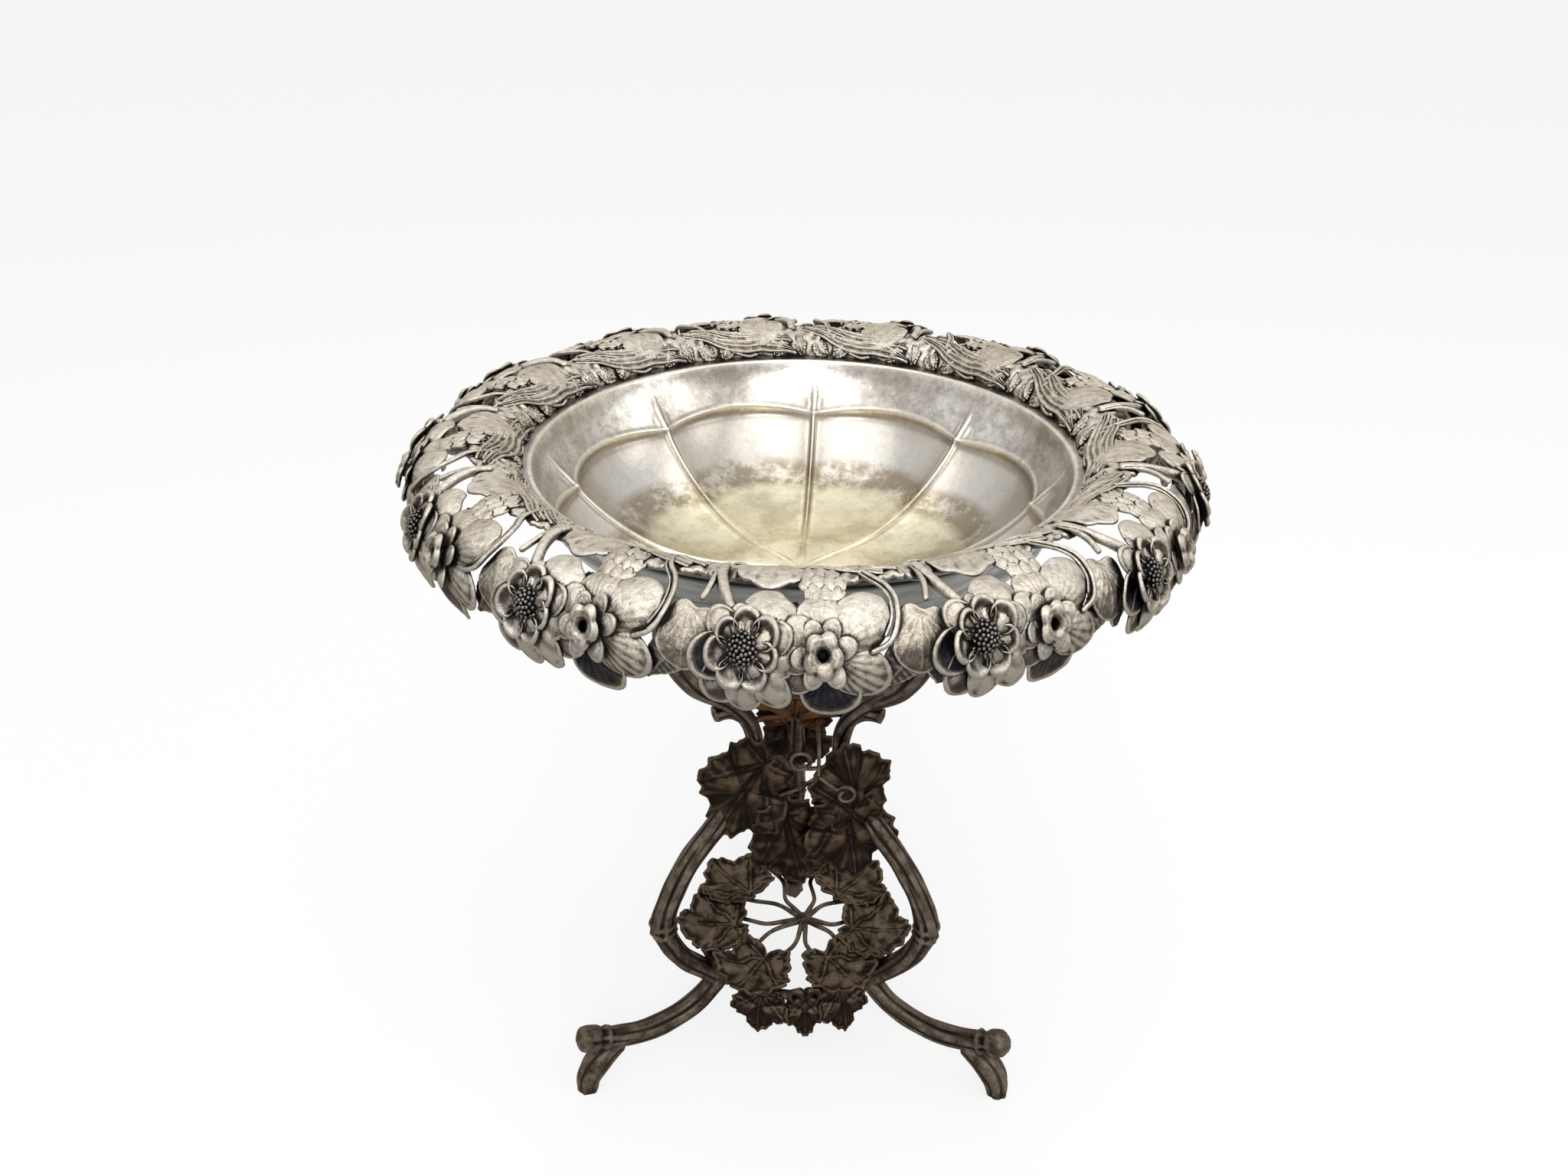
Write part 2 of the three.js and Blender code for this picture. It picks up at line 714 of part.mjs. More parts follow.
function nutGeometry() {
  const outline = new THREE.Shape();
  for (let k = 0; k < 6; k += 1) {
    const turn = radians(60 * k);
    const x = (nutAcrossCorners / 2) * Math.cos(turn);
    const y = (nutAcrossCorners / 2) * Math.sin(turn);
    if (k === 0) outline.moveTo(x, y);
    else outline.lineTo(x, y);
  }
  const bore = new THREE.Path();
  bore.absarc(0, 0, boreRadius, 0, 2 * Math.PI, true);
  outline.holes.push(bore);
  const options = { depth: nutThickness, bevelEnabled: false, curveSegments: 8 };
  return new THREE.ExtrudeGeometry(outline, options).translate(0, 0, nutTop - nutThickness);
}

// Radius at which a ring at a height comes to lie inside the branches, this far from their middles
function seatInside(height, apart) {
  const near = legCurve.getSpacedPoints(nearSteps).filter((spot) => Math.abs(spot.z - height) < apart);
  return Math.min(...near.map((spot) => -spot.y - Math.sqrt(apart ** 2 - (spot.z - height) ** 2)));
}

const hoopRadius = seatInside(hoopHeight, branchRadius + hoopThickness - hoopBite);

// Wreath: a hoop seated between the branches, and a star of wavy twigs on it
function hoopPart() {
  const hoop = new THREE.TorusGeometry(hoopRadius, hoopThickness, 5, hoopSectors);
  return hoop.translate(0, 0, hoopHeight);
}

function starParts() {
  const hub = new THREE.Vector3(starOffset, 0, starHubHeight);
  const knob = new THREE.SphereGeometry(starHubRadius, 10, 4).rotateX(Math.PI / 2);
  const parts = [knob.translate(hub.x, hub.y, hub.z)];
  for (let k = 0; k < starTwigs; k += 1) {
    const bearing = (360 * (k + 0.5)) / starTwigs;
    const end = atBearing(bearing, hoopRadius - hoopThickness - seatGap, hoopHeight);
    const side = new THREE.Vector3(end.y, -end.x, 0).normalize();
    const wave = k % 2 === 0 ? starTwigWave : -starTwigWave;
    const root = hub.clone().addScaledVector(end.clone().sub(hub).normalize(), starHubRadius * 0.85);
    const near = hub.clone().lerp(end, 0.35).addScaledVector(side, wave);
    const far = hub.clone().lerp(end, 0.7).addScaledVector(side, -wave);
    parts.push(limb([root, near, far, end], evenly(3), wireSides, () => starTwigRadius));
  }
  return parts;
}

const hoop = hoopPart();
const hoopGeometry = seated([hoop], [...legsAround, ...feetAround]);
const star = starParts();
const starGeometry = toGeometry(joined(star));

// Vine leaf: a blade of five folded lobes about its middle, pointing at its tip, on a stalk
function vineLeaf({ middle, tip, facing, length, width, cup, stalkEnd }) {
  const along = new THREE.Vector3(...tip).normalize();
  const out = new THREE.Vector3(...facing);
  out.addScaledVector(along, -out.dot(along)).normalize();
  const aside = along.clone().cross(out);
  const place = (share, turn, raise) => {
    const wave = Math.cos(vineLeafLobes * turn);
    const lobe = 1 - vineLeafNotch * (1 - wave);
    const spot = middle.clone();
    spot.addScaledVector(along, (length / 2) * share * lobe * Math.cos(turn));
    spot.addScaledVector(aside, (width / 2) * share * lobe * Math.sin(turn));
    return spot.addScaledVector(out, raise + vineLeafFold * wave * share - cup * share ** 2);
  };
  const upper = (share, turn) => place(share, turn, vineLeafThickness / 2);
  const lower = (share, turn) => place(share, turn, -vineLeafThickness / 2);
  const blade = plateDisc(leafSectors, 1, upper, lower);
  if (!stalkEnd) return [blade];
  return [blade, limb([middle, stalkEnd], evenly(1), stalkSides, () => stalkRadius)];
}

// Leaves that lie on the hoop and point out: bearing, and shares of the full length and width
const ringLeaves = {
  wreath_leaf_left: [-84, 1, 1],
  wreath_leaf_right: [80, 1, 1],
  wreath_leaf_back_left: [-131, 1, 0.9],
  wreath_leaf_back_right: [131, 1, 0.9],
  wreath_leaf_back: [178, 0.75, 0.7],
  wreath_leaf_front_left: [-29, 0.95, 0.86],
  wreath_leaf_front_right: [34, 0.95, 0.86],
};

// Leaves that hang from the front of the hoop: bearing, and shares of the full length and width
const hangingLeaves = {
  wreath_leaf_hanging_left: [-19, 1, 1],
  wreath_leaf_centre: [6, 0.8, 0.65],
  wreath_leaf_hanging_right: [28, 1, 0.85],
};

// Leaves at the neck. The middle and the stalk's end are a bearing, a distance as a multiple of
// the neck's radius, and a share of the way down from the neck to the knee.
const neckLeaves = {
  neck_leaf_left: {
    place: [-47, 1.42, 0.2], tip: [-0.6, -0.1, -1], facing: [-0.3, -1, 0.3], shares: [1.06, 1.05],
    stalk: [-60, 1.14, 0.155],
  },
  neck_leaf_right: {
    place: [47, 1.66, 0.45], tip: [0.2, -0.05, -1], facing: [0.2, -1, 0.3], shares: [0.88, 0.95],
    stalk: [60, 1.66, 0.365],
  },
  neck_leaf_right_upper: {
    place: [52, 1.58, 0.13], tip: [-0.2, 0.1, 1], facing: [0.4, -1, 0.2], shares: [0.86, 0.76],
    stalk: [60, 1.07, 0.083],
  },
  neck_leaf_hanging: {
    place: [-11, 1.2, 0.51], tip: [0.2, 0.05, -1], facing: [0.1, -1, 0.3], shares: [0.9, 0.72],
    stalk: [-60, 1.44, 0.3],
  },
  neck_leaf_top: {
    place: [-5, 0.52, -0.19], tip: [0.1, -0.3, 1], facing: [0, -1, 0.2], shares: [0.46, 1],
    stalk: [-60, 1.14, -0.16],
  },
  neck_leaf_back: {
    place: [180, 1.53, 0.31], tip: [0.1, 0.4, -1], facing: [0, 1, 0.3], shares: [0.92, 0.9],
  },
};

// A place about the neck, from the same three numbers as a leaf's middle
function aboutNeck([bearing, out, down]) {
  return atBearing(bearing, out * neckRadius, THREE.MathUtils.lerp(neckHeight, kneeHeight, down));
}

function leafShapes() {
  const shapes = {};
  for (const [name, [bearing, longer, wider]] of Object.entries(ringLeaves)) {
    shapes[name] = {
      middle: atBearing(bearing, hoopRadius - ringLeafIn, hoopHeight + ringLeafRise),
      tip: atBearing(bearing, 1, 0),
      facing: [0, 0, 1],
      length: ringLeafLength * longer,
      width: ringLeafWidth * wider,
      cup: ringLeafCup,
    };
  }
  for (const [name, [bearing, longer, wider]] of Object.entries(hangingLeaves)) {
    shapes[name] = {
      middle: atBearing(bearing, hoopRadius + hangingLeafOut, hoopHeight - hangingLeafDrop),
      tip: atBearing(bearing, 0.3, -1),
      facing: atBearing(bearing, 1, 0.3),
      length: hangingLeafLength * longer,
      width: hangingLeafWidth * wider,
      cup: hangingLeafCup,
    };
  }
  for (const [name, { place, tip, facing, shares, stalk }] of Object.entries(neckLeaves)) {
    shapes[name] = {
      middle: aboutNeck(place),
      tip,
      facing,
      length: neckLeafLength * shares[0],
      width: neckLeafWidth * shares[1],
      cup: neckLeafCup,
      stalkEnd: stalk && aboutNeck(stalk),
    };
  }
  return shapes;
}

// Each leaf is cut clear of the branches, the hoop, the star and the leaves before it
function leafGeometries() {
  const carriers = [...legsAround, ...feetAround, hoop, starGeometry];
  const made = {};
  for (const [name, shape] of Object.entries(leafShapes())) {
    made[name] = seated(vineLeaf(shape), [...carriers, ...Object.values(made)]);
  }
  return made;
}

const leaves = leafGeometries();

// Tendrils: one forked wire with two curls, springing from the leaf at the top of the neck.
// Places are distances to the right and to the front as multiples of the neck's radius, and a
// share of the way down from the neck to the knee.
function atNeck(aside, out, down) {
  const height = THREE.MathUtils.lerp(neckHeight, kneeHeight, down);
  return new THREE.Vector3(aside * neckRadius, -out * neckRadius, height);
}

const curlPoints = 9;
const curlWinding = 0.3;
const curlDepth = 2;

function curl(middle, radius, start, turns) {
  return Array.from({ length: curlPoints }, (_, k) => {
    const share = k / (curlPoints - 1);
    const turn = radians(start + turns * 360 * share);
    const reach = radius * (1 - curlWinding * share);
    const across = new THREE.Vector3(Math.cos(turn), 0, Math.sin(turn)).multiplyScalar(reach);
    return across.add(middle).add(new THREE.Vector3(0, -curlDepth * share, 0));
  });
}

function tendrilParts() {
  const wire = (route, steps) => limb(route, evenly(steps), wireSides, () => tendrilRadius);
  const fork = atNeck(0.42, 1.16, 0.07);
  return [
    wire([atNeck(0.37, 0.42, -0.19), atNeck(0.42, 0.98, -0.095), atNeck(0.42, 1.16, 0.095)], 3),
    wire([fork, atNeck(0.05, 1.16, 0.143), atNeck(-0.37, 1.12, 0.2)], 3),
    wire([atNeck(0.42, 1.12, 0.024), ...curl(atNeck(0.05, 1.12, -0.024), leftCurlRadius, -60, 0.9)], 11),
    wire([fork, ...curl(atNeck(0.98, 1.26, 0.155), rightCurlRadius, 150, -0.9)], 11),
  ];
}

const tendrils = seated(tendrilParts(), [...legsAround, ...Object.values(leaves)]);

// Finishes
function finish(colour, roughness, metalness) {
  return () => new THREE.MeshStandardMaterial({ color: colour, roughness, metalness });
}

const bowlSilver = finish(0xc9bfa6, 0.32, 1);
const borderSilver = finish(0xb9b0a0, 0.45, 1);
const darkBranch = finish(0x4a4038, 0.5, 0.9);
const darkLeaf = finish(0x3f3028, 0.6, 0.85);
const fixingMetal = finish(0x8a8478, 0.45, 1);

const comport = new THREE.Group();

function addPiece(name, geometry, material, bearing = 0) {
  const mesh = new THREE.Mesh(geometry, material());
  mesh.name = name;
  mesh.rotation.z = radians(bearing);
  comport.add(mesh);
}

addPiece("bowl", bowlGeometry(), bowlSilver);
for (let k = 0; k < borderRepeats; k += 1) {
  const number = String(k + 1).padStart(2, "0");
  addPiece(`border_casting_${number}`, castingGeometry, borderSilver, repeatAngle * k);
  addPiece(`beaded_flower_${number}`, anemone, borderSilver, repeatAngle * k);
}
addPiece("bowl_stud", studGeometry(), fixingMetal);
addPiece("support_plate", plateGeometry(), fixingMetal);
addPiece("washer", washerGeometry(), fixingMetal);
addPiece("nut", nutGeometry(), fixingMetal);
for (const [side, bearing] of Object.entries(legBearings)) {
  addPiece(`leg_branch_${side}`, legGeometry, darkBranch, bearing);
  addPiece(`foot_branch_${side}`, footGeometry, darkBranch, bearing);
}
addPiece("wreath_hoop", hoopGeometry, darkBranch);
addPiece("twig_star", starGeometry, darkBranch);
for (const [name, geometry] of Object.entries(leaves)) {
  addPiece(name, geometry, darkLeaf);
}
addPiece("tendril_spray", tendrils, darkBranch);

export default comport;
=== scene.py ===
"""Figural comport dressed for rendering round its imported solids.

A shallow lobed bowl sits in a pierced border of leaves and flowers, on three branches with vine
leaves, tendrils and a leaf wreath. The classes hold their sizes in millimetres, in the frame's
axes: +Z is up and the front is -Y. A bearing is an angle in degrees from the front, positive to
the right. Meshes are written in metres.
"""

import logging
import math
from collections.abc import Callable, Iterable, Sequence
from dataclasses import dataclass, field, replace
from enum import Enum
from typing import ClassVar

import bpy
import numpy as np
from mathutils import Matrix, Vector
from mathutils.bvhtree import BVHTree


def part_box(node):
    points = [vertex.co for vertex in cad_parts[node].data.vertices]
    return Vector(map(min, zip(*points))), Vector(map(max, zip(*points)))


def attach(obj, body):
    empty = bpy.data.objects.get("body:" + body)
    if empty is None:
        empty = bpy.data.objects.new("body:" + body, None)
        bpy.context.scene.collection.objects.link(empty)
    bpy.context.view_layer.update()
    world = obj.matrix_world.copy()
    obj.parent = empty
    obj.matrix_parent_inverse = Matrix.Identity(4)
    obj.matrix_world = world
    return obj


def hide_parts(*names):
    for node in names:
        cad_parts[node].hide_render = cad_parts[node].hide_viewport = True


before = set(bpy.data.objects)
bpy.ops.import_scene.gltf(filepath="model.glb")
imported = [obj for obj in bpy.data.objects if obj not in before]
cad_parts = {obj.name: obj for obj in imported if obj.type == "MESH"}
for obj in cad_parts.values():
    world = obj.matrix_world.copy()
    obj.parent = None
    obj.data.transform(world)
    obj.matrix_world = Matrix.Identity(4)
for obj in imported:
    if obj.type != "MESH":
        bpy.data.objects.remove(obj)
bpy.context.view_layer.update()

# Names for types and for numbers that stand outside the classes

Numbers = np.ndarray
Pair = tuple[float, float]
Colour = tuple[float, float, float]
Spot = tuple[float, float, float]
Socket = bpy.types.NodeSocket
Material = bpy.types.Material

MM = 0.001
BORDER_RADIUS = 126
BORDER_RISE = 41
GOLDEN_TURN = 2.39996
WAVES = 9
KNOT_STEPS = 24
ROUTE_STEPS = 300
DOME_ROWS = 6
DOME_TIP = 0.03
TANGENT_REACH = 0.2
SIDE_START = (0.3, 0.2, 0.93)
EDGE_BULGE = 0.4
BEAD_SIDES = 8
BEAD_RINGS = (-72, -40, -8, 26, 60)
RAY_START = 0.12
RAY_SPREAD = 0.97
RAY_SIDE = (0.31, 0.17, 0.94)
SHADE_GAIN = 1.6

log = logging.getLogger("comport")


class Slot(Enum):
    """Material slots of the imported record."""

    BOWL = "bowl_silver"
    BORDER = "border_silver"
    BRANCH = "branch_metal"
    LEAF = "leaf_metal"
    FIXING = "fixing_metal"


class Outline(Enum):
    """Outlines of the leaves that lie along a midrib on the border."""

    OVATE = "ovate"
    SCROLL = "scroll"


# Numbers and curves


def unit(vectors: Numbers) -> Numbers:
    """Scales vectors to length one."""
    return vectors / np.maximum(np.linalg.norm(vectors, axis=-1, keepdims=True), 1e-9)


def ease(values: Numbers, low: float, high: float) -> Numbers:
    """Rises smoothly from 0 at low to 1 at high."""
    share = np.clip((values - low) / (high - low), 0, 1)
    return share * share * (3 - 2 * share)


def bell(distance: Numbers, width: float | Numbers) -> Numbers:
    """Falls from 1 at distance 0 along a bell curve of a given width."""
    return np.exp(-((distance / width) ** 2))


def at_bearing(bearing: Numbers, radius: Numbers, height: Numbers) -> Numbers:
    """Points at a bearing, a distance from the axis and a height.

    Args:
        bearing: Bearings in degrees.
        radius: Distances from the axis.
        height: Heights.

    Returns:
        Points in the frame.
    """
    angle = np.radians(bearing)
    parts = np.broadcast_arrays(radius * np.sin(angle), -radius * np.cos(angle), height)
    return np.stack(parts, -1)


def ripples(points: Numbers, wavelength: float, seed: int) -> Numbers:
    """Smooth irregular waves in space, the same on every run.

    Args:
        points: Places to look up.
        wavelength: Typical length of a wave.
        seed: Number of the pattern.

    Returns:
        One value a point, mostly within one either way.
    """
    rng = np.random.default_rng(seed)
    ways = unit(rng.normal(size=(WAVES, 3))) * (2 * np.pi / wavelength)
    ways = ways * rng.uniform(0.6, 1.7, (WAVES, 1))
    offsets = rng.uniform(0, 2 * np.pi, WAVES)
    return np.sin(points @ ways.T + offsets).sum(-1) / 3


def smooth_route(places: Iterable[Sequence[float]], steps: int) -> Numbers:
    """Curve through places, with its points evenly spread along it.

    Args:
        places: Points that the curve goes through.
        steps: Number of even steps.

    Returns:
        Array of steps + 1 points.
    """
    knots = np.array([tuple(place) for place in places], float)
    gaps = np.sqrt(np.maximum(np.linalg.norm(np.diff(knots, axis=0), axis=1), 1e-6))
    times = np.concatenate([[0], np.cumsum(gaps)])
    slopes = np.gradient(knots, times, axis=0)
    fine = []
    for k in range(len(knots) - 1):
        share = np.linspace(0, 1, KNOT_STEPS, endpoint=k == len(knots) - 2)[:, None]
        span = times[k + 1] - times[k]
        start = (2 * share**3 - 3 * share**2 + 1) * knots[k]
        start = start + (share**3 - 2 * share**2 + share) * span * slopes[k]
        finish = (3 * share**2 - 2 * share**3) * knots[k + 1]
        fine.append(start + finish + (share**3 - share**2) * span * slopes[k + 1])
    line = np.concatenate(fine)
    lengths = run_lengths(line)
    wanted = np.linspace(0, lengths[-1], steps + 1)
    return np.stack([np.interp(wanted, lengths, line[:, axis]) for axis in range(3)], -1)


def run_lengths(line: Numbers) -> Numbers:
    """Distance along a line at each of its points."""
    return np.concatenate([[0], np.cumsum(np.linalg.norm(np.diff(line, axis=0), axis=1))])


# Meshes


@dataclass
class Body:
    """Closed mesh under construction.

    Attributes:
        points: Places in millimetres.
        quads: Faces of four corners.
        triangles: Faces of three corners.
        tint: Share of the finish's second colour at each point.
    """

    points: Numbers
    quads: Numbers = field(default_factory=lambda: np.zeros((0, 4), int))
    triangles: Numbers = field(default_factory=lambda: np.zeros((0, 3), int))
    tint: Numbers | None = None

    def tints(self) -> Numbers:
        """The tint, which is nothing where none was given."""
        return np.zeros(len(self.points)) if self.tint is None else self.tint

    def corners(self) -> Numbers:
        """All faces as triangles."""
        return np.concatenate([self.quads[:, [0, 1, 2]], self.quads[:, [0, 2, 3]], self.triangles])

    def facing_out(self) -> "Body":
        """The same body with its faces turned outwards.

        Returns:
            The body, turned inside out where its faces looked in.
        """
        a, b, c = (self.points[self.corners()[:, k]] for k in range(3))
        if np.einsum("ij,ij->", a, np.cross(b, c)) < 0:
            return replace(self, quads=self.quads[:, ::-1], triangles=self.triangles[:, ::-1])
        return self

    def turned(self, bearing: float) -> "Body":
        """The same body turned about the axis by a bearing.

        Args:
            bearing: Turn in degrees, from the front to the right.

        Returns:
            The turned body.
        """
        angle = math.radians(bearing)
        cos, sin = math.cos(angle), math.sin(angle)
        turn = np.array([[cos, -sin, 0], [sin, cos, 0], [0, 0, 1]])
        return replace(self, points=self.points @ turn.T)

    def normals(self) -> Numbers:
        """Normals at the points, from the faces about them.

        Returns:
            One unit vector a point.
        """
        corners = self.corners()
        a, b, c = (self.points[corners[:, k]] for k in range(3))
        faces = np.cross(b - a, c - a)
        total = np.zeros_like(self.points)
        for k in range(3):
            for axis in range(3):
                total[:, axis] += np.bincount(corners[:, k], faces[:, axis], len(self.points))
        return unit(total)

    def hollows(self, rounds: int, reach: float) -> Numbers:
        """How hollow the surface is at each point.

        Args:
            rounds: Rounds of smoothing that the surface is set against.
            reach: Depth that counts as fully hollow.

        Returns:
            Values from -1 on a sharp edge to 1 in a sharp groove.
        """
        edges = [self.quads[:, [k, (k + 1) % 4]] for k in range(4)]
        edges += [self.triangles[:, [k, (k + 1) % 3]] for k in range(3)]
        pairs = np.concatenate(edges)
        count = len(self.points)
        shared = np.maximum(np.bincount(pairs.ravel(), minlength=count), 1)[:, None]
        soft = self.points
        for _ in range(rounds):
            sums = [
                np.bincount(pairs[:, 0], soft[pairs[:, 1], axis], count)
                + np.bincount(pairs[:, 1], soft[pairs[:, 0], axis], count)
                for axis in range(3)
            ]
            soft = np.stack(sums, -1) / shared
        return np.clip(((soft - self.points) * self.normals()).sum(-1) / reach, -1, 1)


def merged(parts: Sequence[Body]) -> Body:
    """Several bodies as one.

    Args:
        parts: Bodies to join.

    Returns:
        One body with all their points and faces.
    """
    starts = np.cumsum([0] + [len(part.points) for part in parts[:-1]])
    return Body(
        np.concatenate([part.points for part in parts]),
        np.concatenate([part.quads + start for part, start in zip(parts, starts)]),
        np.concatenate([part.triangles + start for part, start in zip(parts, starts)]),
        np.concatenate([part.tints() for part in parts]),
    )


def grid_normals(grid: Numbers, wrap: bool) -> Numbers:
    """Normals of a grid of points, which may close on itself along its first axis.

    Args:
        grid: Points, as columns by rows by three.
        wrap: Whether the last column meets the first.

    Returns:
        One unit vector a point.
    """
    if wrap:
        along = np.roll(grid, -1, 0) - np.roll(grid, 1, 0)
    else:
        along = np.gradient(grid, axis=0)
    normals = np.cross(along, np.gradient(grid, axis=1))
    weak = np.linalg.norm(normals, axis=-1).max(axis=1) < 1e-7
    normals = unit(normals)
    if weak[0]:
        normals[0] = normals[1]
    if weak[-1]:
        normals[-1] = normals[-2]
    return normals


def sheet(
    grid: Numbers,
    thickness: float | Numbers,
    wrap: bool = False,
    pole: bool = False,
    tint: float | Numbers = 0.0,
) -> Body:
    """Closed plate below a grid of points, with rounded edges.

    Args:
        grid: Upper side, as columns by rows by three.
        thickness: Depth of the plate, one number or one a point.
        wrap: Whether the last column meets the first.
        pole: Whether the first row of a wrapped grid closes on a middle point.
        tint: Tint of the upper side, one number or one a point.

    Returns:
        The plate.
    """
    columns, rows = grid.shape[:2]
    depth = np.broadcast_to(np.asarray(thickness, float), (columns, rows))[..., None]
    colour = np.broadcast_to(np.asarray(tint, float), (columns, rows)).ravel()
    lower = grid - grid_normals(grid, wrap) * depth
    side = columns * rows
    index = np.arange(side).reshape(columns, rows)
    here = index if wrap else index[:-1]
    there = np.roll(index, -1, 0) if wrap else index[1:]
    top = np.stack([here[:, :-1], there[:, :-1], there[:, 1:], here[:, 1:]], -1).reshape(-1, 4)
    points = [grid.reshape(-1, 3), lower.reshape(-1, 3)]
    quads = [top, top[:, ::-1] + side]
    triangles = []
    if wrap:
        loops = [(index[::-1, -1], index[::-1, -2])]
        if not pole:
            loops.append((index[:, 0], index[:, 1]))
    else:
        edge = [index[:-1, 0], index[-1, :-1], index[:0:-1, -1], index[0, :0:-1]]
        inner = [index[:-1, 1], index[-2, :-1], index[:0:-1, -2], index[1, :0:-1]]
        loops = [(np.concatenate(edge), np.concatenate(inner))]
    total = 2 * side
    flat, low = points
    for loop, inner in loops:
        out = unit(flat[loop] - flat[inner])
        points.append((flat[loop] + low[loop]) / 2 + out * depth.reshape(-1, 1)[loop] * EDGE_BULGE)
        middle = total + np.arange(len(loop))
        total += len(loop)
        after, middle_after = np.roll(loop, -1), np.roll(middle, -1)
        quads.append(np.stack([after, loop, middle, middle_after], -1))
        quads.append(np.stack([middle_after, middle, loop + side, after + side], -1))
    if pole:
        points.append(np.stack([flat[index[:, 0]].mean(0), low[index[:, 0]].mean(0)]))
        ring, after = index[:, 0], np.roll(index[:, 0], -1)
        triangles.append(np.stack([after, ring, np.full(columns, total)], -1))
        triangles.append(np.stack([ring + side, after + side, np.full(columns, total + 1)], -1))
    faces = np.concatenate(triangles) if triangles else np.zeros((0, 3), int)
    everywhere = np.concatenate(points)
    tints = np.zeros(len(everywhere))
    tints[:side] = colour
    return Body(everywhere, np.concatenate(quads), faces, tints).facing_out()


def skin(grid: Numbers) -> Body:
    """Closed skin over a wrapped grid, with a middle point at each end.

    Args:
        grid: Points, as columns by rows by three.

    Returns:
        The closed body.
    """
    columns, rows = grid.shape[:2]
    index = np.arange(columns * rows).reshape(columns, rows)
    there = np.roll(index, -1, 0)
    quads = np.stack([index[:, :-1], there[:, :-1], there[:, 1:], index[:, 1:]], -1).reshape(-1, 4)
    first, last = np.full(columns, columns * rows), np.full(columns, columns * rows + 1)
    ends = [
        np.stack([there[:, 0], index[:, 0], first], -1),
        np.stack([index[:, -1], there[:, -1], last], -1),
    ]
    points = np.concatenate([grid.reshape(-1, 3), [grid[:, 0].mean(0), grid[:, -1].mean(0)]])
    return Body(points, quads, np.concatenate(ends)).facing_out()


def tube(
    places: Iterable[Sequence[float]],
    radius: float | Callable[[Numbers, Numbers], Numbers],
    sides: int,
    steps: int,
    relief: Callable[[Numbers, Numbers], Numbers] | None = None,
    cap: float = 1.0,
) -> Body:
    """Round limb along a smooth curve, with domed ends.

    Args:
        places: Points that its middle line goes through.
        radius: Radius, or a function of the distance from its start and of the middle's place.
        sides: Points round it.
        steps: Steps along it.
        relief: Height of the surface over the radius, by angle and distance.
        cap: Height of the domes at its ends.

    Returns:
        The limb.
    """
    line = smooth_route(places, ROUTE_STEPS)
    runs = run_lengths(line)
    turns = np.linspace(0, np.pi / 2, DOME_ROWS)
    head = cap * (1 - np.cos(turns))
    between = np.linspace(cap, runs[-1] - cap, steps)[1:-1]
    distances = np.concatenate([head, between, runs[-1] - head[::-1]])
    domes = np.concatenate([np.sin(turns), np.ones(steps - 2), np.sin(turns[::-1])])
    shrink = np.maximum(domes, DOME_TIP)
    middle, ahead, behind = (
        np.stack([np.interp(distances + shift, runs, line[:, axis]) for axis in range(3)], -1)
        for shift in (0, TANGENT_REACH, -TANGENT_REACH)
    )
    tangents = unit(ahead - behind)
    side = unit(np.cross(tangents[0], SIDE_START))
    across = []
    for tangent in tangents:
        side = unit(side - tangent * (side @ tangent))
        across.append(side)
    across = np.array(across)
    beside = np.cross(tangents, across)
    angles = np.linspace(0, 2 * np.pi, sides, endpoint=False)[:, None]
    size = radius(distances, middle) if callable(radius) else np.full(len(distances), radius)
    size = size[None] + (relief(angles, distances[None]) if relief else 0)
    size = (size * shrink)[..., None]
    round_it = np.cos(angles)[..., None] * across + np.sin(angles)[..., None] * beside
    return skin(middle + size * round_it)


def balls(centres: Numbers, radius: float) -> Body:
    """Small beads of one radius about several centres.

    Args:
        centres: Middles of the beads.
        radius: Radius of a bead.

    Returns:
        All the beads as one body.
    """
    turn = np.linspace(0, 2 * np.pi, BEAD_SIDES, endpoint=False)[:, None]
    rise = np.radians(BEAD_RINGS)[None]
    level = np.cos(rise)
    shape = np.stack(np.broadcast_arrays(np.cos(turn) * level, np.sin(turn) * level, np.sin(rise)), -1)
    return merged([skin(shape * radius + centre) for centre in centres])


def shades(
    points: Numbers,
    normals: Numbers,
    surroundings: Sequence[Body],
    reach: float,
    rays: int = 14,
) -> Numbers:
    """How much of the space over each point is taken by what stands near it.

    Args:
        points: Places to look from.
        normals: Normals there.
        surroundings: Bodies that stand near.
        reach: Distance beyond which nothing counts.
        rays: Number of looks from each point.

    Returns:
        Values from 0 in the open to 1 in a deep hollow.
    """
    whole = merged(surroundings)
    tree = BVHTree.FromPolygons(whole.points.tolist(), whole.corners().tolist())
    first = unit(np.cross(normals, RAY_SIDE))
    second = np.cross(normals, first)
    starts = (points + normals * RAY_START).tolist()
    lost = np.zeros(len(points))
    for k in range(rays):
        spread = math.sqrt((k + 0.5) / rays) * RAY_SPREAD
        turn = k * GOLDEN_TURN
        way = first * (spread * math.cos(turn)) + second * (spread * math.sin(turn))
        way = (way + normals * math.sqrt(1 - spread**2)).tolist()
        for number, (start, look) in enumerate(zip(starts, way)):
            distance = tree.ray_cast(start, look, reach)[3]
            if distance is not None:
                lost[number] += 1 - distance / reach
    return np.clip(lost * SHADE_GAIN / rays, 0, 1)


# Finishes


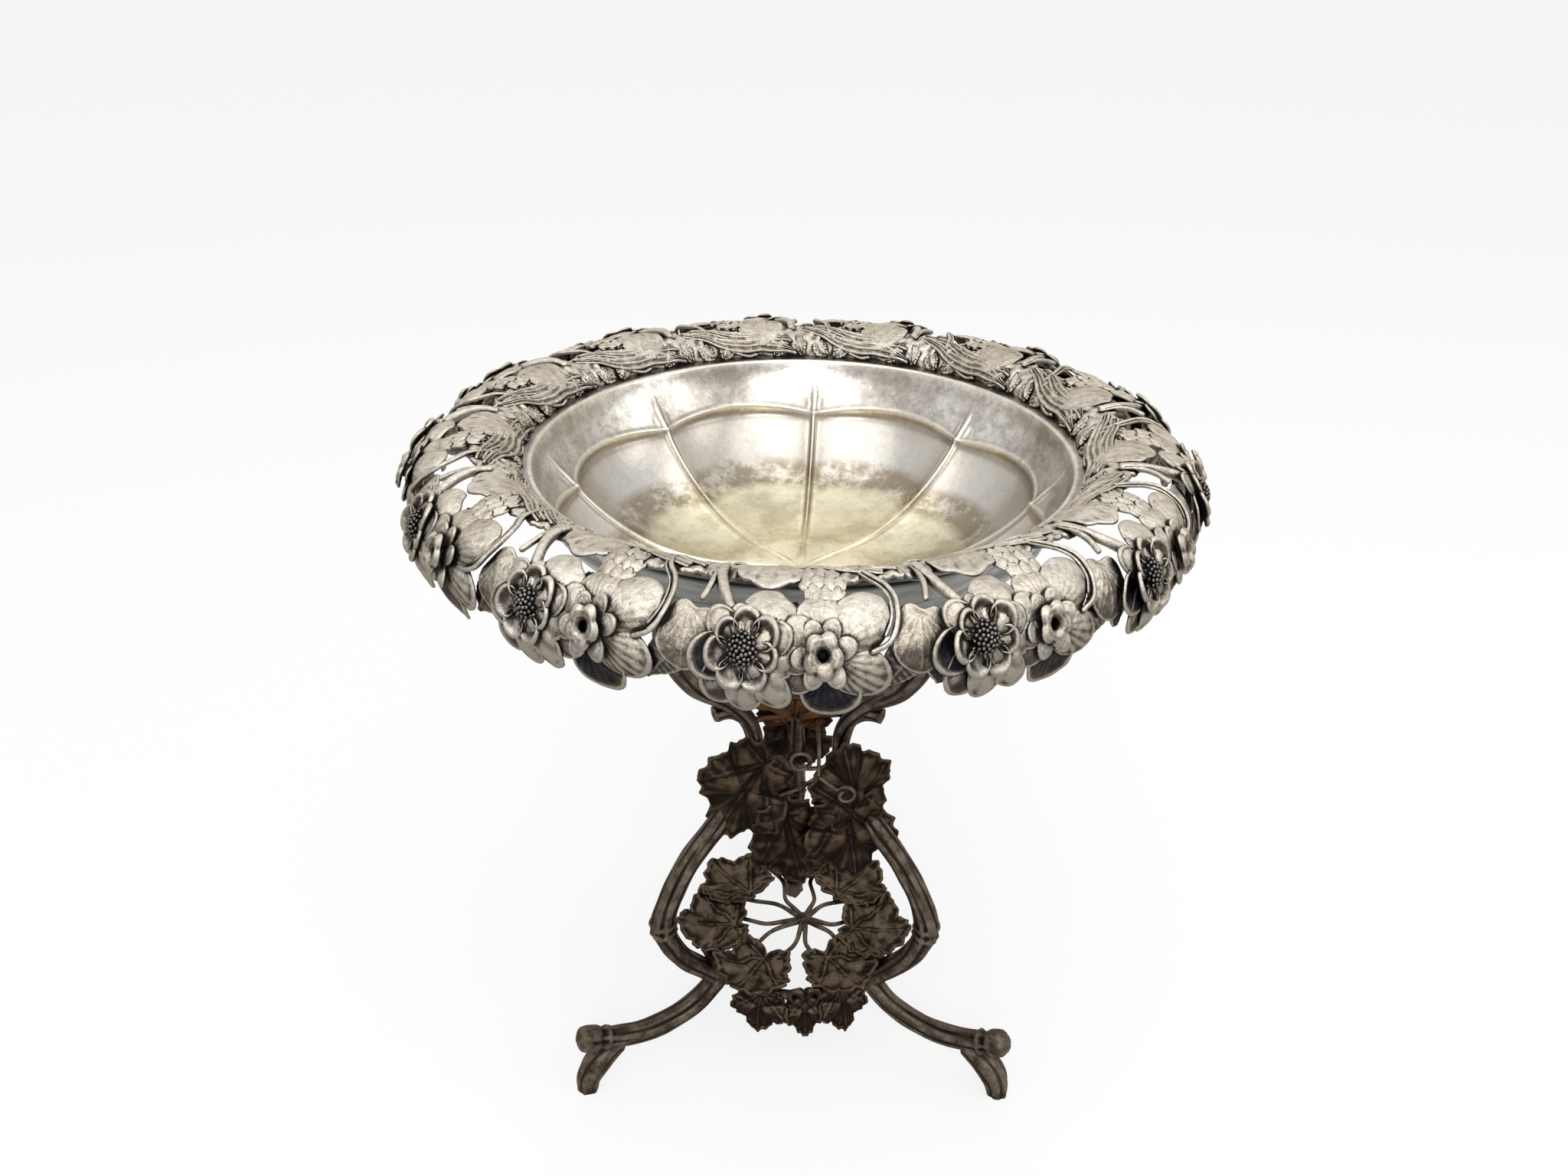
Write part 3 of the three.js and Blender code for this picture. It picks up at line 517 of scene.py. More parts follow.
class Recipe:
    """Nodes of one material while it is put together."""

    def __init__(self, name: str) -> None:
        """Starts a material with a shader and object coordinates.

        Args:
            name: Material name.
        """
        self.material = bpy.data.materials.new(name)
        self.material.use_nodes = True
        self.nodes = self.material.node_tree.nodes
        self.links = self.material.node_tree.links
        self.shader = self.nodes["Principled BSDF"]
        self.place = self.nodes.new("ShaderNodeTexCoord").outputs["Object"]

    def node(self, kind: str, inputs: dict, **settings: object) -> bpy.types.Node:
        """Adds a node.

        Args:
            kind: Node type.
            inputs: Sockets or values by input name or number.
            settings: Properties of the node.

        Returns:
            The node.
        """
        made = self.nodes.new(kind)
        for key, value in settings.items():
            setattr(made, key, value)
        for key, value in inputs.items():
            if isinstance(value, Socket):
                self.links.new(value, made.inputs[key])
            else:
                made.inputs[key].default_value = value
        return made

    def noise(self, scale: float, detail: float, roughness: float, stretch: Spot = (1, 1, 1)) -> Socket:
        """Cloudy pattern.

        Args:
            scale: Waves in a metre.
            detail: Number of finer layers.
            roughness: Strength of the finer layers.
            stretch: Scale along each axis.

        Returns:
            Socket with values from 0 to 1.
        """
        place = self.place
        if stretch != (1, 1, 1):
            place = self.node("ShaderNodeMapping", {"Vector": place, "Scale": stretch}).outputs[0]
        inputs = {"Vector": place, "Scale": scale, "Detail": detail, "Roughness": roughness}
        return self.node("ShaderNodeTexNoise", inputs).outputs["Fac"]

    def stored(self, name: str) -> Socket:
        """Values kept in the mesh under a name."""
        return self.node("ShaderNodeAttribute", {}, attribute_name=name).outputs["Fac"]

    def spread(self, value: Socket, low: float, high: float, start: float = 0, end: float = 1) -> Socket:
        """Value taken from a range to another, and kept inside it."""
        inputs = {0: value, 1: low, 2: high, 3: start, 4: end}
        return self.node("ShaderNodeMapRange", inputs).outputs[0]

    def product(self, first: Socket, second: Socket | float) -> Socket:
        """Product of two values, kept from 0 to 1."""
        made = self.node("ShaderNodeMath", {0: first, 1: second}, operation="MULTIPLY", use_clamp=True)
        return made.outputs[0]

    def mix(self, share: Socket, first: Socket | Colour, second: Socket | Colour) -> Socket:
        """Colour between two colours.

        Args:
            share: Share of the second.
            first: Colour or socket.
            second: Colour or socket.

        Returns:
            Colour socket.
        """
        made = self.node("ShaderNodeMix", {0: share}, data_type="RGBA")
        for number, value in ((6, first), (7, second)):
            if isinstance(value, Socket):
                self.links.new(value, made.inputs[number])
            else:
                made.inputs[number].default_value = (*value, 1)
        return made.outputs[2]

    def bump(self, height: Socket, strength: float, depth: float, under: Socket | None = None) -> Socket:
        """Fine relief.

        Args:
            height: Height from 0 to 1.
            strength: Strength of the relief.
            depth: Height in metres.
            under: Relief that this one lies on.

        Returns:
            Normal socket.
        """
        inputs = {"Height": height, "Strength": strength, "Distance": depth}
        if under is not None:
            inputs["Normal"] = under
        return self.node("ShaderNodeBump", inputs).outputs[0]

    def facing(self) -> Socket:
        """How far the surface faces up, from -1 to 1."""
        normal = self.nodes.new("ShaderNodeNewGeometry").outputs["Normal"]
        return self.node("ShaderNodeSeparateXYZ", {0: normal}).outputs[2]

    def height(self) -> Socket:
        """Height over the table in metres."""
        return self.node("ShaderNodeSeparateXYZ", {0: self.place}).outputs[2]

    def finished(self, colour: Socket, roughness: Socket, normal: Socket, metallic: float) -> Material:
        """Links the shader's inputs and gives the material.

        Args:
            colour: Base colour socket.
            roughness: Roughness socket.
            normal: Normal socket.
            metallic: Share of metal.

        Returns:
            The material.
        """
        self.links.new(colour, self.shader.inputs["Base Color"])
        self.links.new(roughness, self.shader.inputs["Roughness"])
        self.links.new(normal, self.shader.inputs["Normal"])
        self.shader.inputs["Metallic"].default_value = metallic
        return self.material


@dataclass(frozen=True)
class BowlSilver:
    """Satin silver inside, gilt low in the lobes, with tarnish on the band and dull grey outside; with
    painted light as well: a highlight in each lobe, a brown reflection band at the gilt's edge, shade under
    the border and a black shadow at the top of the outside.

    Each pair of heights is in metres over the table: where a layer starts, and where it is whole.
    """

    silver: Colour = (0.58, 0.525, 0.44)
    # Painted highlight in the lobes, and the paler tone of the band.
    bright: Colour = (0.80, 0.78, 0.73)
    gilt: Colour = (1.0, 0.92, 0.65)
    tarnish: Colour = (0.27, 0.235, 0.20)
    # Brown blotches in the gilt, and the painted brown reflection band.
    brown: Colour = (0.25, 0.175, 0.08)
    line: Colour = (0.74, 0.69, 0.57)
    # Grooves, and painted shade under the border.
    groove: Colour = (0.16, 0.135, 0.11)
    outside: Colour = (0.21, 0.21, 0.195)
    outside_dark: Colour = (0.095, 0.092, 0.085)
    # Painted shadow: black for the top of the outside, seen through the border's slots.
    slot: Colour = (0.004, 0.004, 0.004)
    gilt_heights: Pair = (0.2610, 0.2535)
    reflection_band_start: Pair = (0.2525, 0.2550)
    reflection_band_end: Pair = (0.2630, 0.2600)
    band_heights: Pair = (0.276, 0.286)
    fleck_heights: Pair = (0.274, 0.284)
    slot_shadow_heights: Pair = (0.2925, 0.2945)

    def material(self) -> Material:
        """The finish as a material.

        Returns:
            The material.
        """
        r = Recipe("bowl_satin_silver")
        height = r.height()
        cloud = r.noise(14, 6, 0.6)
        colour = r.mix(r.spread(cloud, 0.42, 0.62, end=0.4), self.silver, self.tarnish)
        low = r.spread(height, *self.gilt_heights)
        colour = r.mix(r.product(low, r.spread(cloud, 0.2, 0.5, 0.55, 1)), colour, self.gilt)
        blotch = r.spread(r.noise(48, 9, 0.7), 0.48, 0.60, end=0.34)
        colour = r.mix(r.product(low, blotch), colour, self.brown)
        # Painted dark reflection: an uneven brown band at the upper edge of the gilt.
        edge = r.product(r.spread(height, *self.reflection_band_start), r.spread(height, *self.reflection_band_end))
        painted_shade_and_reflection = r.product(edge, r.spread(r.noise(60, 9, 0.75), 0.40, 0.52))
        # Painted highlight: the stored tint brightens the upper middle of each lobe.
        painted_highlight = r.product(r.stored("tint"), r.spread(cloud, 0.66, 0.4, 0.6, 1))
        colour = r.mix(painted_highlight, colour, self.bright)
        # The painted brown reflection band goes on over the highlight.
        colour = r.mix(r.product(painted_shade_and_reflection, 0.85), colour, self.brown)
        band = r.spread(height, *self.band_heights, 0.12, 1)
        colour = r.mix(r.product(band, 0.75), colour, self.bright)
        mottle = r.product(r.spread(r.noise(34, 12, 0.8), 0.44, 0.58), band)
        colour = r.mix(r.product(mottle, 0.62), colour, self.tarnish)
        flecks = r.spread(r.noise(240, 8, 0.8), 0.50, 0.56)
        flecks = r.product(flecks, r.spread(height, *self.fleck_heights, 0.3, 1))
        colour = r.mix(r.product(flecks, 0.42), colour, self.tarnish)
        colour = r.mix(r.spread(r.noise(420, 6, 0.75), 0.56, 0.74, end=0.5), colour, self.tarnish)
        hollow = r.stored("hollow")
        colour = r.mix(r.spread(hollow, 0.05, 0.7, end=0.6), colour, self.groove)
        colour = r.mix(r.spread(hollow, -0.08, -0.7, end=0.45), colour, self.line)
        # Painted shade on the rim under the border, from the stored occlusion.
        colour = r.mix(r.spread(r.stored("shade"), 0.35, 1.0, end=0.35), colour, self.groove)
        streaks = r.spread(r.noise(60, 8, 0.65, (1, 1, 4)), 0.35, 0.7)
        dull = r.mix(streaks, self.outside, self.outside_dark)
        # Painted shadow: the outside turns black at the top, where the slots through the border look onto
        # it.
        dull = r.mix(r.spread(height, *self.slot_shadow_heights), dull, self.slot)
        colour = r.mix(r.stored("outer"), colour, dull)
        scratches = r.noise(150, 4, 0.7, (1, 9, 1))
        rubbed = r.noise(120, 4, 0.7, (8, 1, 1))
        rough = r.spread(r.product(scratches, rubbed), 0.1, 0.5, 0.24, 0.42)
        dents = r.bump(r.noise(55, 5, 0.6), 0.3, 0.0012)
        normal = r.bump(scratches, 0.15, 0.0004, dents)
        return r.finished(colour, rough, normal, 1.0)


@dataclass(frozen=True)
class CastSilver:
    """Cast and chased silver: pale and warm on its swells, brown-black in its recesses from patina and
    painted shade, with painted shade and dark reflection where it faces sideways and down.

    Attributes:
        pale: Swells.
        warm: Clouds on the swells.
        crest: Edges and lines.
        under: Patches and grain, laid on more thickly away from the top as painted shade, and painted dark
            reflection on what faces down.
        side: Painted shade on what faces sideways.
        gloss: Colour of its gloss.
        recess: Grooves and shaded places.
        navy: Painted dark reflection and shade inside some petals and leaves, in the trumpet's throat and
            on the dome of beads.
    """

    pale: Colour = (0.76, 0.71, 0.62)
    warm: Colour = (0.55, 0.48, 0.385)
    crest: Colour = (0.70, 0.665, 0.59)
    under: Colour = (0.050, 0.040, 0.030)
    side: Colour = (0.20, 0.165, 0.125)
    gloss: Colour = (0.78, 0.70, 0.60)
    recess: Colour = (0.030, 0.026, 0.022)
    navy: Colour = (0.003, 0.0045, 0.012)

    def material(self) -> Material:
        """The finish as a material.

        Returns:
            The material.
        """
        r = Recipe("border_cast_silver")
        colour = r.mix(r.spread(r.noise(42, 8, 0.65), 0.38, 0.66), self.pale, self.warm)
        hollow, shade, facing = r.stored("hollow"), r.stored("shade"), r.facing()
        # Painted shade: what faces sideways darkens towards the side colour.
        colour = r.mix(r.spread(facing, 0.8, 0.15, end=0.8), colour, self.side)
        # Tarnish patches and grain, laid more thickly as painted shade where the surface faces away from
        # the top.
        patches = r.spread(r.noise(95, 10, 0.75), 0.46, 0.58)
        patches = r.product(patches, r.spread(facing, 0.9, 0.2, 0.12, 0.75))
        colour = r.mix(patches, colour, self.under)
        grain = r.spread(r.noise(300, 8, 0.85), 0.46, 0.55)
        grain = r.product(grain, r.spread(facing, 0.9, 0.2, 0.3, 0.85))
        colour = r.mix(grain, colour, self.under)
        # Painted shade and dark reflection on what faces down.
        colour = r.mix(r.spread(facing, 0.35, -0.45, end=0.92), colour, self.under)
        colour = r.mix(r.spread(hollow, -0.06, -0.8, end=0.3), colour, self.crest)
        colour = r.mix(r.spread(hollow, 0.05, 0.8, end=0.65), colour, self.recess)
        # Painted shade from the stored occlusion.
        colour = r.mix(r.spread(shade, 0.15, 0.50, end=0.98), colour, self.recess)
        # Painted navy reflection and shade where the tint is set.
        painted_shade_and_reflection = r.product(r.stored("tint"), r.spread(r.noise(160, 6, 0.7), 0.75, 0.4, 0.8, 1))
        colour = r.mix(painted_shade_and_reflection, colour, self.navy)
        rough = r.spread(r.noise(260, 6, 0.7), 0.3, 0.7, 0.30, 0.48)
        pits = r.bump(r.noise(330, 5, 0.65), 0.55, 0.0014)
        normal = r.bump(r.noise(850, 5, 0.7), 0.5, 0.0006, pits)
        r.shader.inputs["Specular Tint"].default_value = (*self.gloss, 1)
        return r.finished(colour, rough, normal, 0.94)


@dataclass(frozen=True)
class DarkBronze:
    """Oxidised dark metal with rubbed crests and painted shade in its recesses.

    Attributes:
        name: Material name.
        body: Colour of the flat surface.
        rubbed: Colour of the crests.
        dust: Colour that the surface takes where it faces up.
        warm: Colour of the patches that the tint lays over it.
        recess: Colour of the grooves and of the painted shade.
        gloss: Colour of its gloss.
        rub: Share of the crest colour.
        sheen: Strength of its gloss.
    """

    name: str
    body: Colour
    rubbed: Colour
    dust: Colour = (0.05, 0.038, 0.027)
    warm: Colour = (0.085, 0.034, 0.013)
    recess: Colour = (0.004, 0.003, 0.003)
    gloss: Colour = (0.62, 0.44, 0.30)
    rub: float = 0.8
    sheen: float = 0.25

    def material(self) -> Material:
        """The finish as a material.

        Returns:
            The material.
        """
        r = Recipe(self.name)
        patches = r.product(r.stored("tint"), r.spread(r.noise(90, 6, 0.6), 0.3, 0.6))
        colour = r.mix(patches, self.body, self.warm)
        up = r.product(r.spread(r.facing(), 0.4, 1), r.spread(r.noise(110, 7, 0.65), 0.34, 0.54))
        colour = r.mix(r.product(up, 0.9), colour, self.dust)
        colour = r.mix(r.spread(r.noise(60, 8, 0.65), 0.54, 0.8, end=0.12), colour, self.rubbed)
        hollow = r.stored("hollow")
        wear = r.product(r.spread(hollow, -0.12, -0.8), r.spread(r.noise(130, 6, 0.7), 0.36, 0.62))
        colour = r.mix(r.product(wear, self.rub), colour, self.rubbed)
        colour = r.mix(r.spread(hollow, 0.03, 0.5, end=0.85), colour, self.recess)
        # Painted shade from the stored occlusion.
        colour = r.mix(r.spread(r.stored("shade"), 0.2, 0.8, end=0.85), colour, self.recess)
        rough = r.spread(r.noise(300, 6, 0.7), 0.3, 0.7, 0.36, 0.58)
        dents = r.bump(r.noise(160, 5, 0.65), 0.4, 0.001)
        normal = r.bump(r.noise(700, 5, 0.7), 0.4, 0.0005, dents)
        r.shader.inputs["Specular IOR Level"].default_value = self.sheen
        r.shader.inputs["Specular Tint"].default_value = (*self.gloss, 1)
        return r.finished(colour, rough, normal, 0.6)


@dataclass(frozen=True)
class TurnedBrass:
    """Turned brass under the bowl, brown with age."""

    bright: Colour = (0.46, 0.37, 0.22)
    aged: Colour = (0.16, 0.12, 0.085)

    def material(self) -> Material:
        """The finish as a material.

        Returns:
            The material.
        """
        r = Recipe("fixing_turned_brass")
        colour = r.mix(r.spread(r.noise(90, 8, 0.7), 0.35, 0.68), self.bright, self.aged)
        marks = r.noise(260, 3, 0.6, (1, 1, 14))
        rough = r.spread(r.noise(200, 5, 0.7), 0.3, 0.7, 0.34, 0.55)
        return r.finished(colour, rough, r.bump(marks, 0.3, 0.0003), 1.0)


# Pieces


@dataclass
class Piece:
    """One shown piece: its mesh, its looks and the node that it stands for.

    Attributes:
        name: Piece name.
        body: Mesh in millimetres.
        slot: Slot of the record.
        material: Finish.
        node: Node that it replaces.
        values: Numbers kept in the mesh, by name.
    """

    name: str
    body: Body
    slot: Slot
    material: Material
    node: str
    values: dict[str, Numbers]

    def placed(self) -> None:
        """Writes the mesh into the scene and ties it to the frame."""
        body = self.body
        mesh = bpy.data.meshes.new(self.name)
        mesh.vertices.add(len(body.points))
        mesh.vertices.foreach_set("co", (body.points * MM).astype(np.float32).ravel())
        corners = np.concatenate([body.quads.ravel(), body.triangles.ravel()])
        mesh.loops.add(len(corners))
        mesh.loops.foreach_set("vertex_index", corners.astype(np.int32))
        quads, triangles = len(body.quads), len(body.triangles)
        starts = np.concatenate([np.arange(quads) * 4, quads * 4 + np.arange(triangles) * 3])
        mesh.polygons.add(len(starts))
        mesh.polygons.foreach_set("loop_start", starts.astype(np.int32))
        mesh.update(calc_edges=True)
        mesh.validate()
        mesh.shade_smooth()
        for key, numbers in {**self.values, "tint": body.tints()}.items():
            layer = mesh.attributes.new(key, "FLOAT", "POINT")
            layer.data.foreach_set("value", numbers.astype(np.float32))
        mesh.materials.append(self.material)
        made = bpy.data.objects.new(self.name, mesh)
        bpy.context.scene.collection.objects.link(made)
        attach(made, "root")
        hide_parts(self.node)
        log.info("%s: %d faces, stands for %s", self.name, len(starts), self.node)


@dataclass(frozen=True)
class Roll:
    """The border's roll: a ring that leaves and flowers lie on.

    Attributes:
        centre_radius: Distance of its middle line from the axis.
        height: Height of its middle line.
        radius: Radius of its section.
    """

    centre_radius: float
    height: float
    radius: float = 21.5

    def place(self, length: Numbers, arc: Numbers, lift: Numbers) -> Numbers:
        """Points on the roll.

        Args:
            length: Length along the widest line, from the front to the right.
            arc: Length up the section from its widest line.
            lift: Height off the roll.

        Returns:
            Points in the frame.
        """
        bearing = np.degrees(np.asarray(length, float) / (self.centre_radius + self.radius))
        lean = np.asarray(arc) / self.radius
        reach = self.radius + np.asarray(lift)
        radius = self.centre_radius + reach * np.cos(lean)
        return at_bearing(bearing, radius, self.height + reach * np.sin(lean))

    def drawn(self, middle: Pair, heading: float, along: Numbers, aside: Numbers, lift: Numbers) -> Numbers:
        """Points of a form drawn about a place on the roll.

        Args:
            middle: Length and arc of the place.
            heading: Way that the form points, in degrees from the right towards the crest.
            along: Distances that way.
            aside: Distances to its left.
            lift: Heights off the roll.

        Returns:
            Points in the frame.
        """
        cos, sin = math.cos(math.radians(heading)), math.sin(math.radians(heading))
        length = middle[0] + along * cos - aside * sin
        return self.place(length, middle[1] + along * sin + aside * cos, lift)

    def girth(self, repeats: int) -> float:
        """Length of one of several equal shares of the widest line."""
        return 2 * math.pi * (self.centre_radius + self.radius) / repeats


@dataclass
class LobedBowl:
    """Bowl with eight lobes between raised ribs, a scalloped line, small fleurs and a moulding."""

    roll: Roll
    floor_height: float
    floor_radius: float = 25
    wall: float = 1.3
    lobes: int = 8
    lobe_turn: float = -3.9
    cusp_radius: float = 90.6
    cusp_rise: float = 32
    lobe_depth: float = 6.4
    lobe_rise: float = 2.6
    line_power: float = 0.85
    gore_bulge: float = 3.9
    gore_lip: float = 2.1
    arc_share: float = 0.786
    moulding_radius: float = 104.5
    moulding_rise: float = 52.5
    flange_depth: float = 2.4
    flange_arcs: tuple[float, ...] = (51.6, 49.5, 47.0, 44.5)
    ledge_steps: tuple[float, ...] = (0.7, 1.5, 4.0)
    rib_height: float = 0.7
    fleur_length: float = 11
    lobe_steps: int = 52
    crowding: float = 0.09
    pole_radius: float = 0.8
    rows: tuple[int, int, int] = (12, 60, 30)
    shaded_width: float = 8

    def sections(self) -> tuple[Numbers, Numbers, Numbers, Numbers, Numbers]:
        """Plain sections of the bowl.

        Returns:
            Bearings, radii and rises, distances past the scalloped line, and waves of the lobes.
        """
        floor_rows, gore_rows, band_rows = self.rows
        share = np.linspace(0, 1, self.lobe_steps, endpoint=False)
        share = share - self.crowding * np.sin(2 * np.pi * share)
        lobe = (np.arange(self.lobes)[:, None] + share[None]).ravel()
        bearing = (self.lobe_turn + lobe * 360 / self.lobes)[:, None]
        wave = np.abs(np.sin(np.pi * lobe))[:, None]
        line_radius = self.cusp_radius + self.lobe_depth * wave**self.line_power
        line_rise = self.cusp_rise + self.lobe_rise * wave**self.line_power
        floor = np.linspace(self.pole_radius, self.floor_radius, floor_rows, endpoint=False)
        floor = floor[None] + 0 * wave
        inward = 1 - (1 - np.linspace(0, 1, gore_rows, endpoint=False)[None]) ** 1.25
        full = 1 - math.sqrt(1 - self.arc_share**2)
        rise = line_rise * (1 - np.sqrt(1 - (inward * self.arc_share) ** 2)) / full
        radius = self.floor_radius + (line_radius - self.floor_radius) * inward
        band = np.linspace(0, 1, band_rows)[None] ** 1.2
        band_radius = line_radius + (self.moulding_radius - line_radius) * band
        band_rise = line_rise + (self.moulding_rise - line_rise) * (0.7 * band + 0.3 * band**2.5)
        lean = np.array(self.flange_arcs)[None] / self.roll.radius
        reach = self.roll.radius - self.flange_depth
        rim_radius = self.roll.centre_radius + reach * np.cos(lean) + 0 * wave
        rim_rise = self.roll.height - self.floor_height + reach * np.sin(lean) + 0 * wave
        step = np.array([self.ledge_steps]) + 0 * wave
        ledge_rise = self.moulding_rise + step * 0.14
        radii = np.concatenate([floor, radius, band_radius, self.moulding_radius + step, rim_radius], 1)
        rises = np.concatenate([0 * floor, rise, band_rise, ledge_rise, rim_rise], 1)
        return bearing, radii, rises, radii - line_radius, wave

    def inside(self, radii: Numbers, past: Numbers) -> Numbers:
        """Share of the way from the floor to the scalloped line."""
        return np.clip((radii - self.floor_radius) / (radii - past - self.floor_radius), 0, 1)

    def relief(self, bearing: Numbers, radii: Numbers, past: Numbers, wave: Numbers) -> Numbers:
        """Height of ribs, lobes, scallops, fleurs and moulding over the plain sections.

        Args:
            bearing: Bearings.
            radii: Distances from the axis.
            past: Distances past the scalloped line.
            wave: Waves of the lobes.

        Returns:
            Heights towards the inside.
        """
        inside = self.inside(radii, past)
        puff = self.gore_bulge * np.sin(np.pi * inside) ** 1.15
        puff = puff + self.gore_lip * ease(inside, 0.45, 0.9)
        depth = wave**0.6 * puff * (1 - ease(past, -2.4, -0.3))
        turn = (bearing - self.lobe_turn) * self.lobes / 360
        aside = np.radians((turn - np.round(turn)) * 360 / self.lobes) * radii
        length = self.rib_height * ease(radii, 2, 14)
        rib = length * bell(aside, 0.62) * (1 - ease(past, 1, self.fleur_length))
        groove = 0.35 * length * bell(np.abs(aside) - 1.5, 0.8) * (1 - ease(past, -4, 0))
        leaf = ease(past, -3, 1.5) * (1 - ease(past, 4, self.fleur_length))
        fleur = 0.4 * leaf * bell(aside, 1.7 - 0.1 * np.clip(past, 0, 12))
        wings = 0.45 * bell(np.abs(aside) - 2.4, 0.9) * bell(past - 2.6, 1.8)
        scallop = 0.5 * bell(past, 0.6)
        off_ring = radii - self.moulding_radius
        ring = 0.2 * bell(off_ring, 0.8) - 0.2 * bell(off_ring + 2.2, 1.2)
        return rib - groove - depth + fleur + wings + scallop + ring

    def build(self) -> tuple[Body, int]:
        """Makes the mesh, with a painted highlight kept in its tint in the upper middle of each lobe.

        Returns:
            The bowl, and the number of points on its inside.
        """
        bearing, radii, rises, past, wave = self.sections()
        plain = at_bearing(bearing, radii, self.floor_height + rises)
        normals = grid_normals(plain, True)
        normals = normals * np.sign(normals[:, :20, 2].mean())
        shaped = plain + normals * self.relief(bearing, radii, past, wave)[..., None]
        below = np.sign(grid_normals(shaped, True)[:, :20, 2].mean())
        inside = self.inside(radii, past)
        # Painted highlight: tint for the upper middle of each lobe.
        painted_highlight = ease(inside, 0.56, 0.68) * (1 - ease(inside, 0.86, 1.0))
        painted_highlight = painted_highlight * wave**0.8 * (1 - ease(past, -4, -1))
        return sheet(shaped, self.wall * below, wrap=True, pole=True, tint=painted_highlight), shaped[..., 0].size

    def dress(self, material: Material, around: Sequence[Body]) -> None:
        """Places the bowl in its finish.

        Args:
            material: Finish.
            around: Bodies that shade its rim.
        """
        body, inner = self.build()
        outer = np.zeros(len(body.points))
        outer[inner : 2 * inner] = 1
        edge = np.linalg.norm(body.points[:, :2], axis=1) > self.moulding_radius - self.shaded_width
        shade = np.zeros(len(body.points))
        shade[edge] = shades(body.points[edge], body.normals()[edge], around, reach=5, rays=8)
        values = {"hollow": body.hollows(rounds=3, reach=0.16), "shade": shade, "outer": outer}
        Piece("bowl_lobed", body, Slot.BOWL, material, "bowl", values).placed()


@dataclass(frozen=True)
class Petal:
    """Shell-shaped petal about a flower's middle, with fine lines that spread from its root.

    Attributes:
        heading: Way that it points, in degrees from the right towards the crest.
        start: Distance of its root from the middle.
        length: Length from root to far edge.
        width: Greatest width.
        root_lift: Height of its root.
        edge_lift: Height of its far edge.
        crown: Rise of its middle, or its depth where this is negative.
        ridges: Number of lines.
        ridge_depth: Depth of the lines.
        notch: Share of the length that the middle of the edge stands back.
        scallops: Number of scallops along the edge.
        tilt: Rise of one side over the other.
        rim: Height of the rim along the edge.
        rim_width: Width of the rim as a share of the petal.
        dark: Share of painted navy reflection and shade inside the rim.
        thickness: Thickness.
        steps: Rows from root to edge.
        across: Columns from side to side.
        half_open: Angle from its middle to its sides, in radians.
    """

    heading: float
    start: float
    length: float
    width: float
    root_lift: float
    edge_lift: float
    crown: float = 1.8
    ridges: int = 0
    ridge_depth: float = 0.1
    notch: float = 0.0
    scallops: int = 0
    tilt: float = 0.0
    rim: float = 0.35
    rim_width: float = 0.05
    dark: float = 0.0
    thickness: float = 0.9
    steps: int = 18
    across: int = 34
    half_open: float = 1.38

    def build(self, roll: Roll, middle: Pair) -> Body:
        """Makes the petal about a place on a roll.

        Args:
            roll: Roll that it lies on.
            middle: Length and arc of the flower's middle.

        Returns:
            The petal.
        """
        long, wide = self.length / 2, self.width / 2
        turn = np.linspace(-self.half_open, self.half_open, self.across + 1)[None]
        share = np.linspace(0.05, 1, self.steps + 1)[:, None]
        spread = (wide * np.cos(turn)) ** 2 + (long * np.sin(turn)) ** 2
        edge = 2 * long * wide**2 * np.cos(turn) / spread
        edge = edge * (1 - self.notch * bell(turn, 0.17))
        if self.scallops:
            edge = edge * (1 - 0.07 + 0.07 * np.abs(np.cos(self.scallops * turn)))
        along, aside = share * edge * np.cos(turn), share * edge * np.sin(turn)
        off = np.clip(np.hypot(along / long - 1, aside / wide), 0, 1) * ease(share, -0.2, 0.6)
        lift = self.root_lift + (self.edge_lift - self.root_lift) * along / self.length
        lift = lift + self.crown * (1 - off**2) + self.tilt * aside / wide
        lines = np.cos(np.pi * self.ridges * turn / self.half_open) if self.ridges else 0 * turn
        lift = lift + self.ridge_depth * lines * ease(share, 0.2, 0.55) * (1 - ease(share, 0.86, 0.94))
        lift = lift + self.rim * bell(share - 1.02 + self.rim_width, self.rim_width)
        spot = np.stack([along, aside, lift], -1)
        lift = lift + 0.16 * ripples(spot, 8, int(self.heading) % 97)
        grid = roll.drawn(middle, self.heading, self.start + along, aside, lift)
        return sheet(grid, self.thickness, tint=self.dark * (1 - ease(share, 0.84, 0.95)) + 0 * turn)


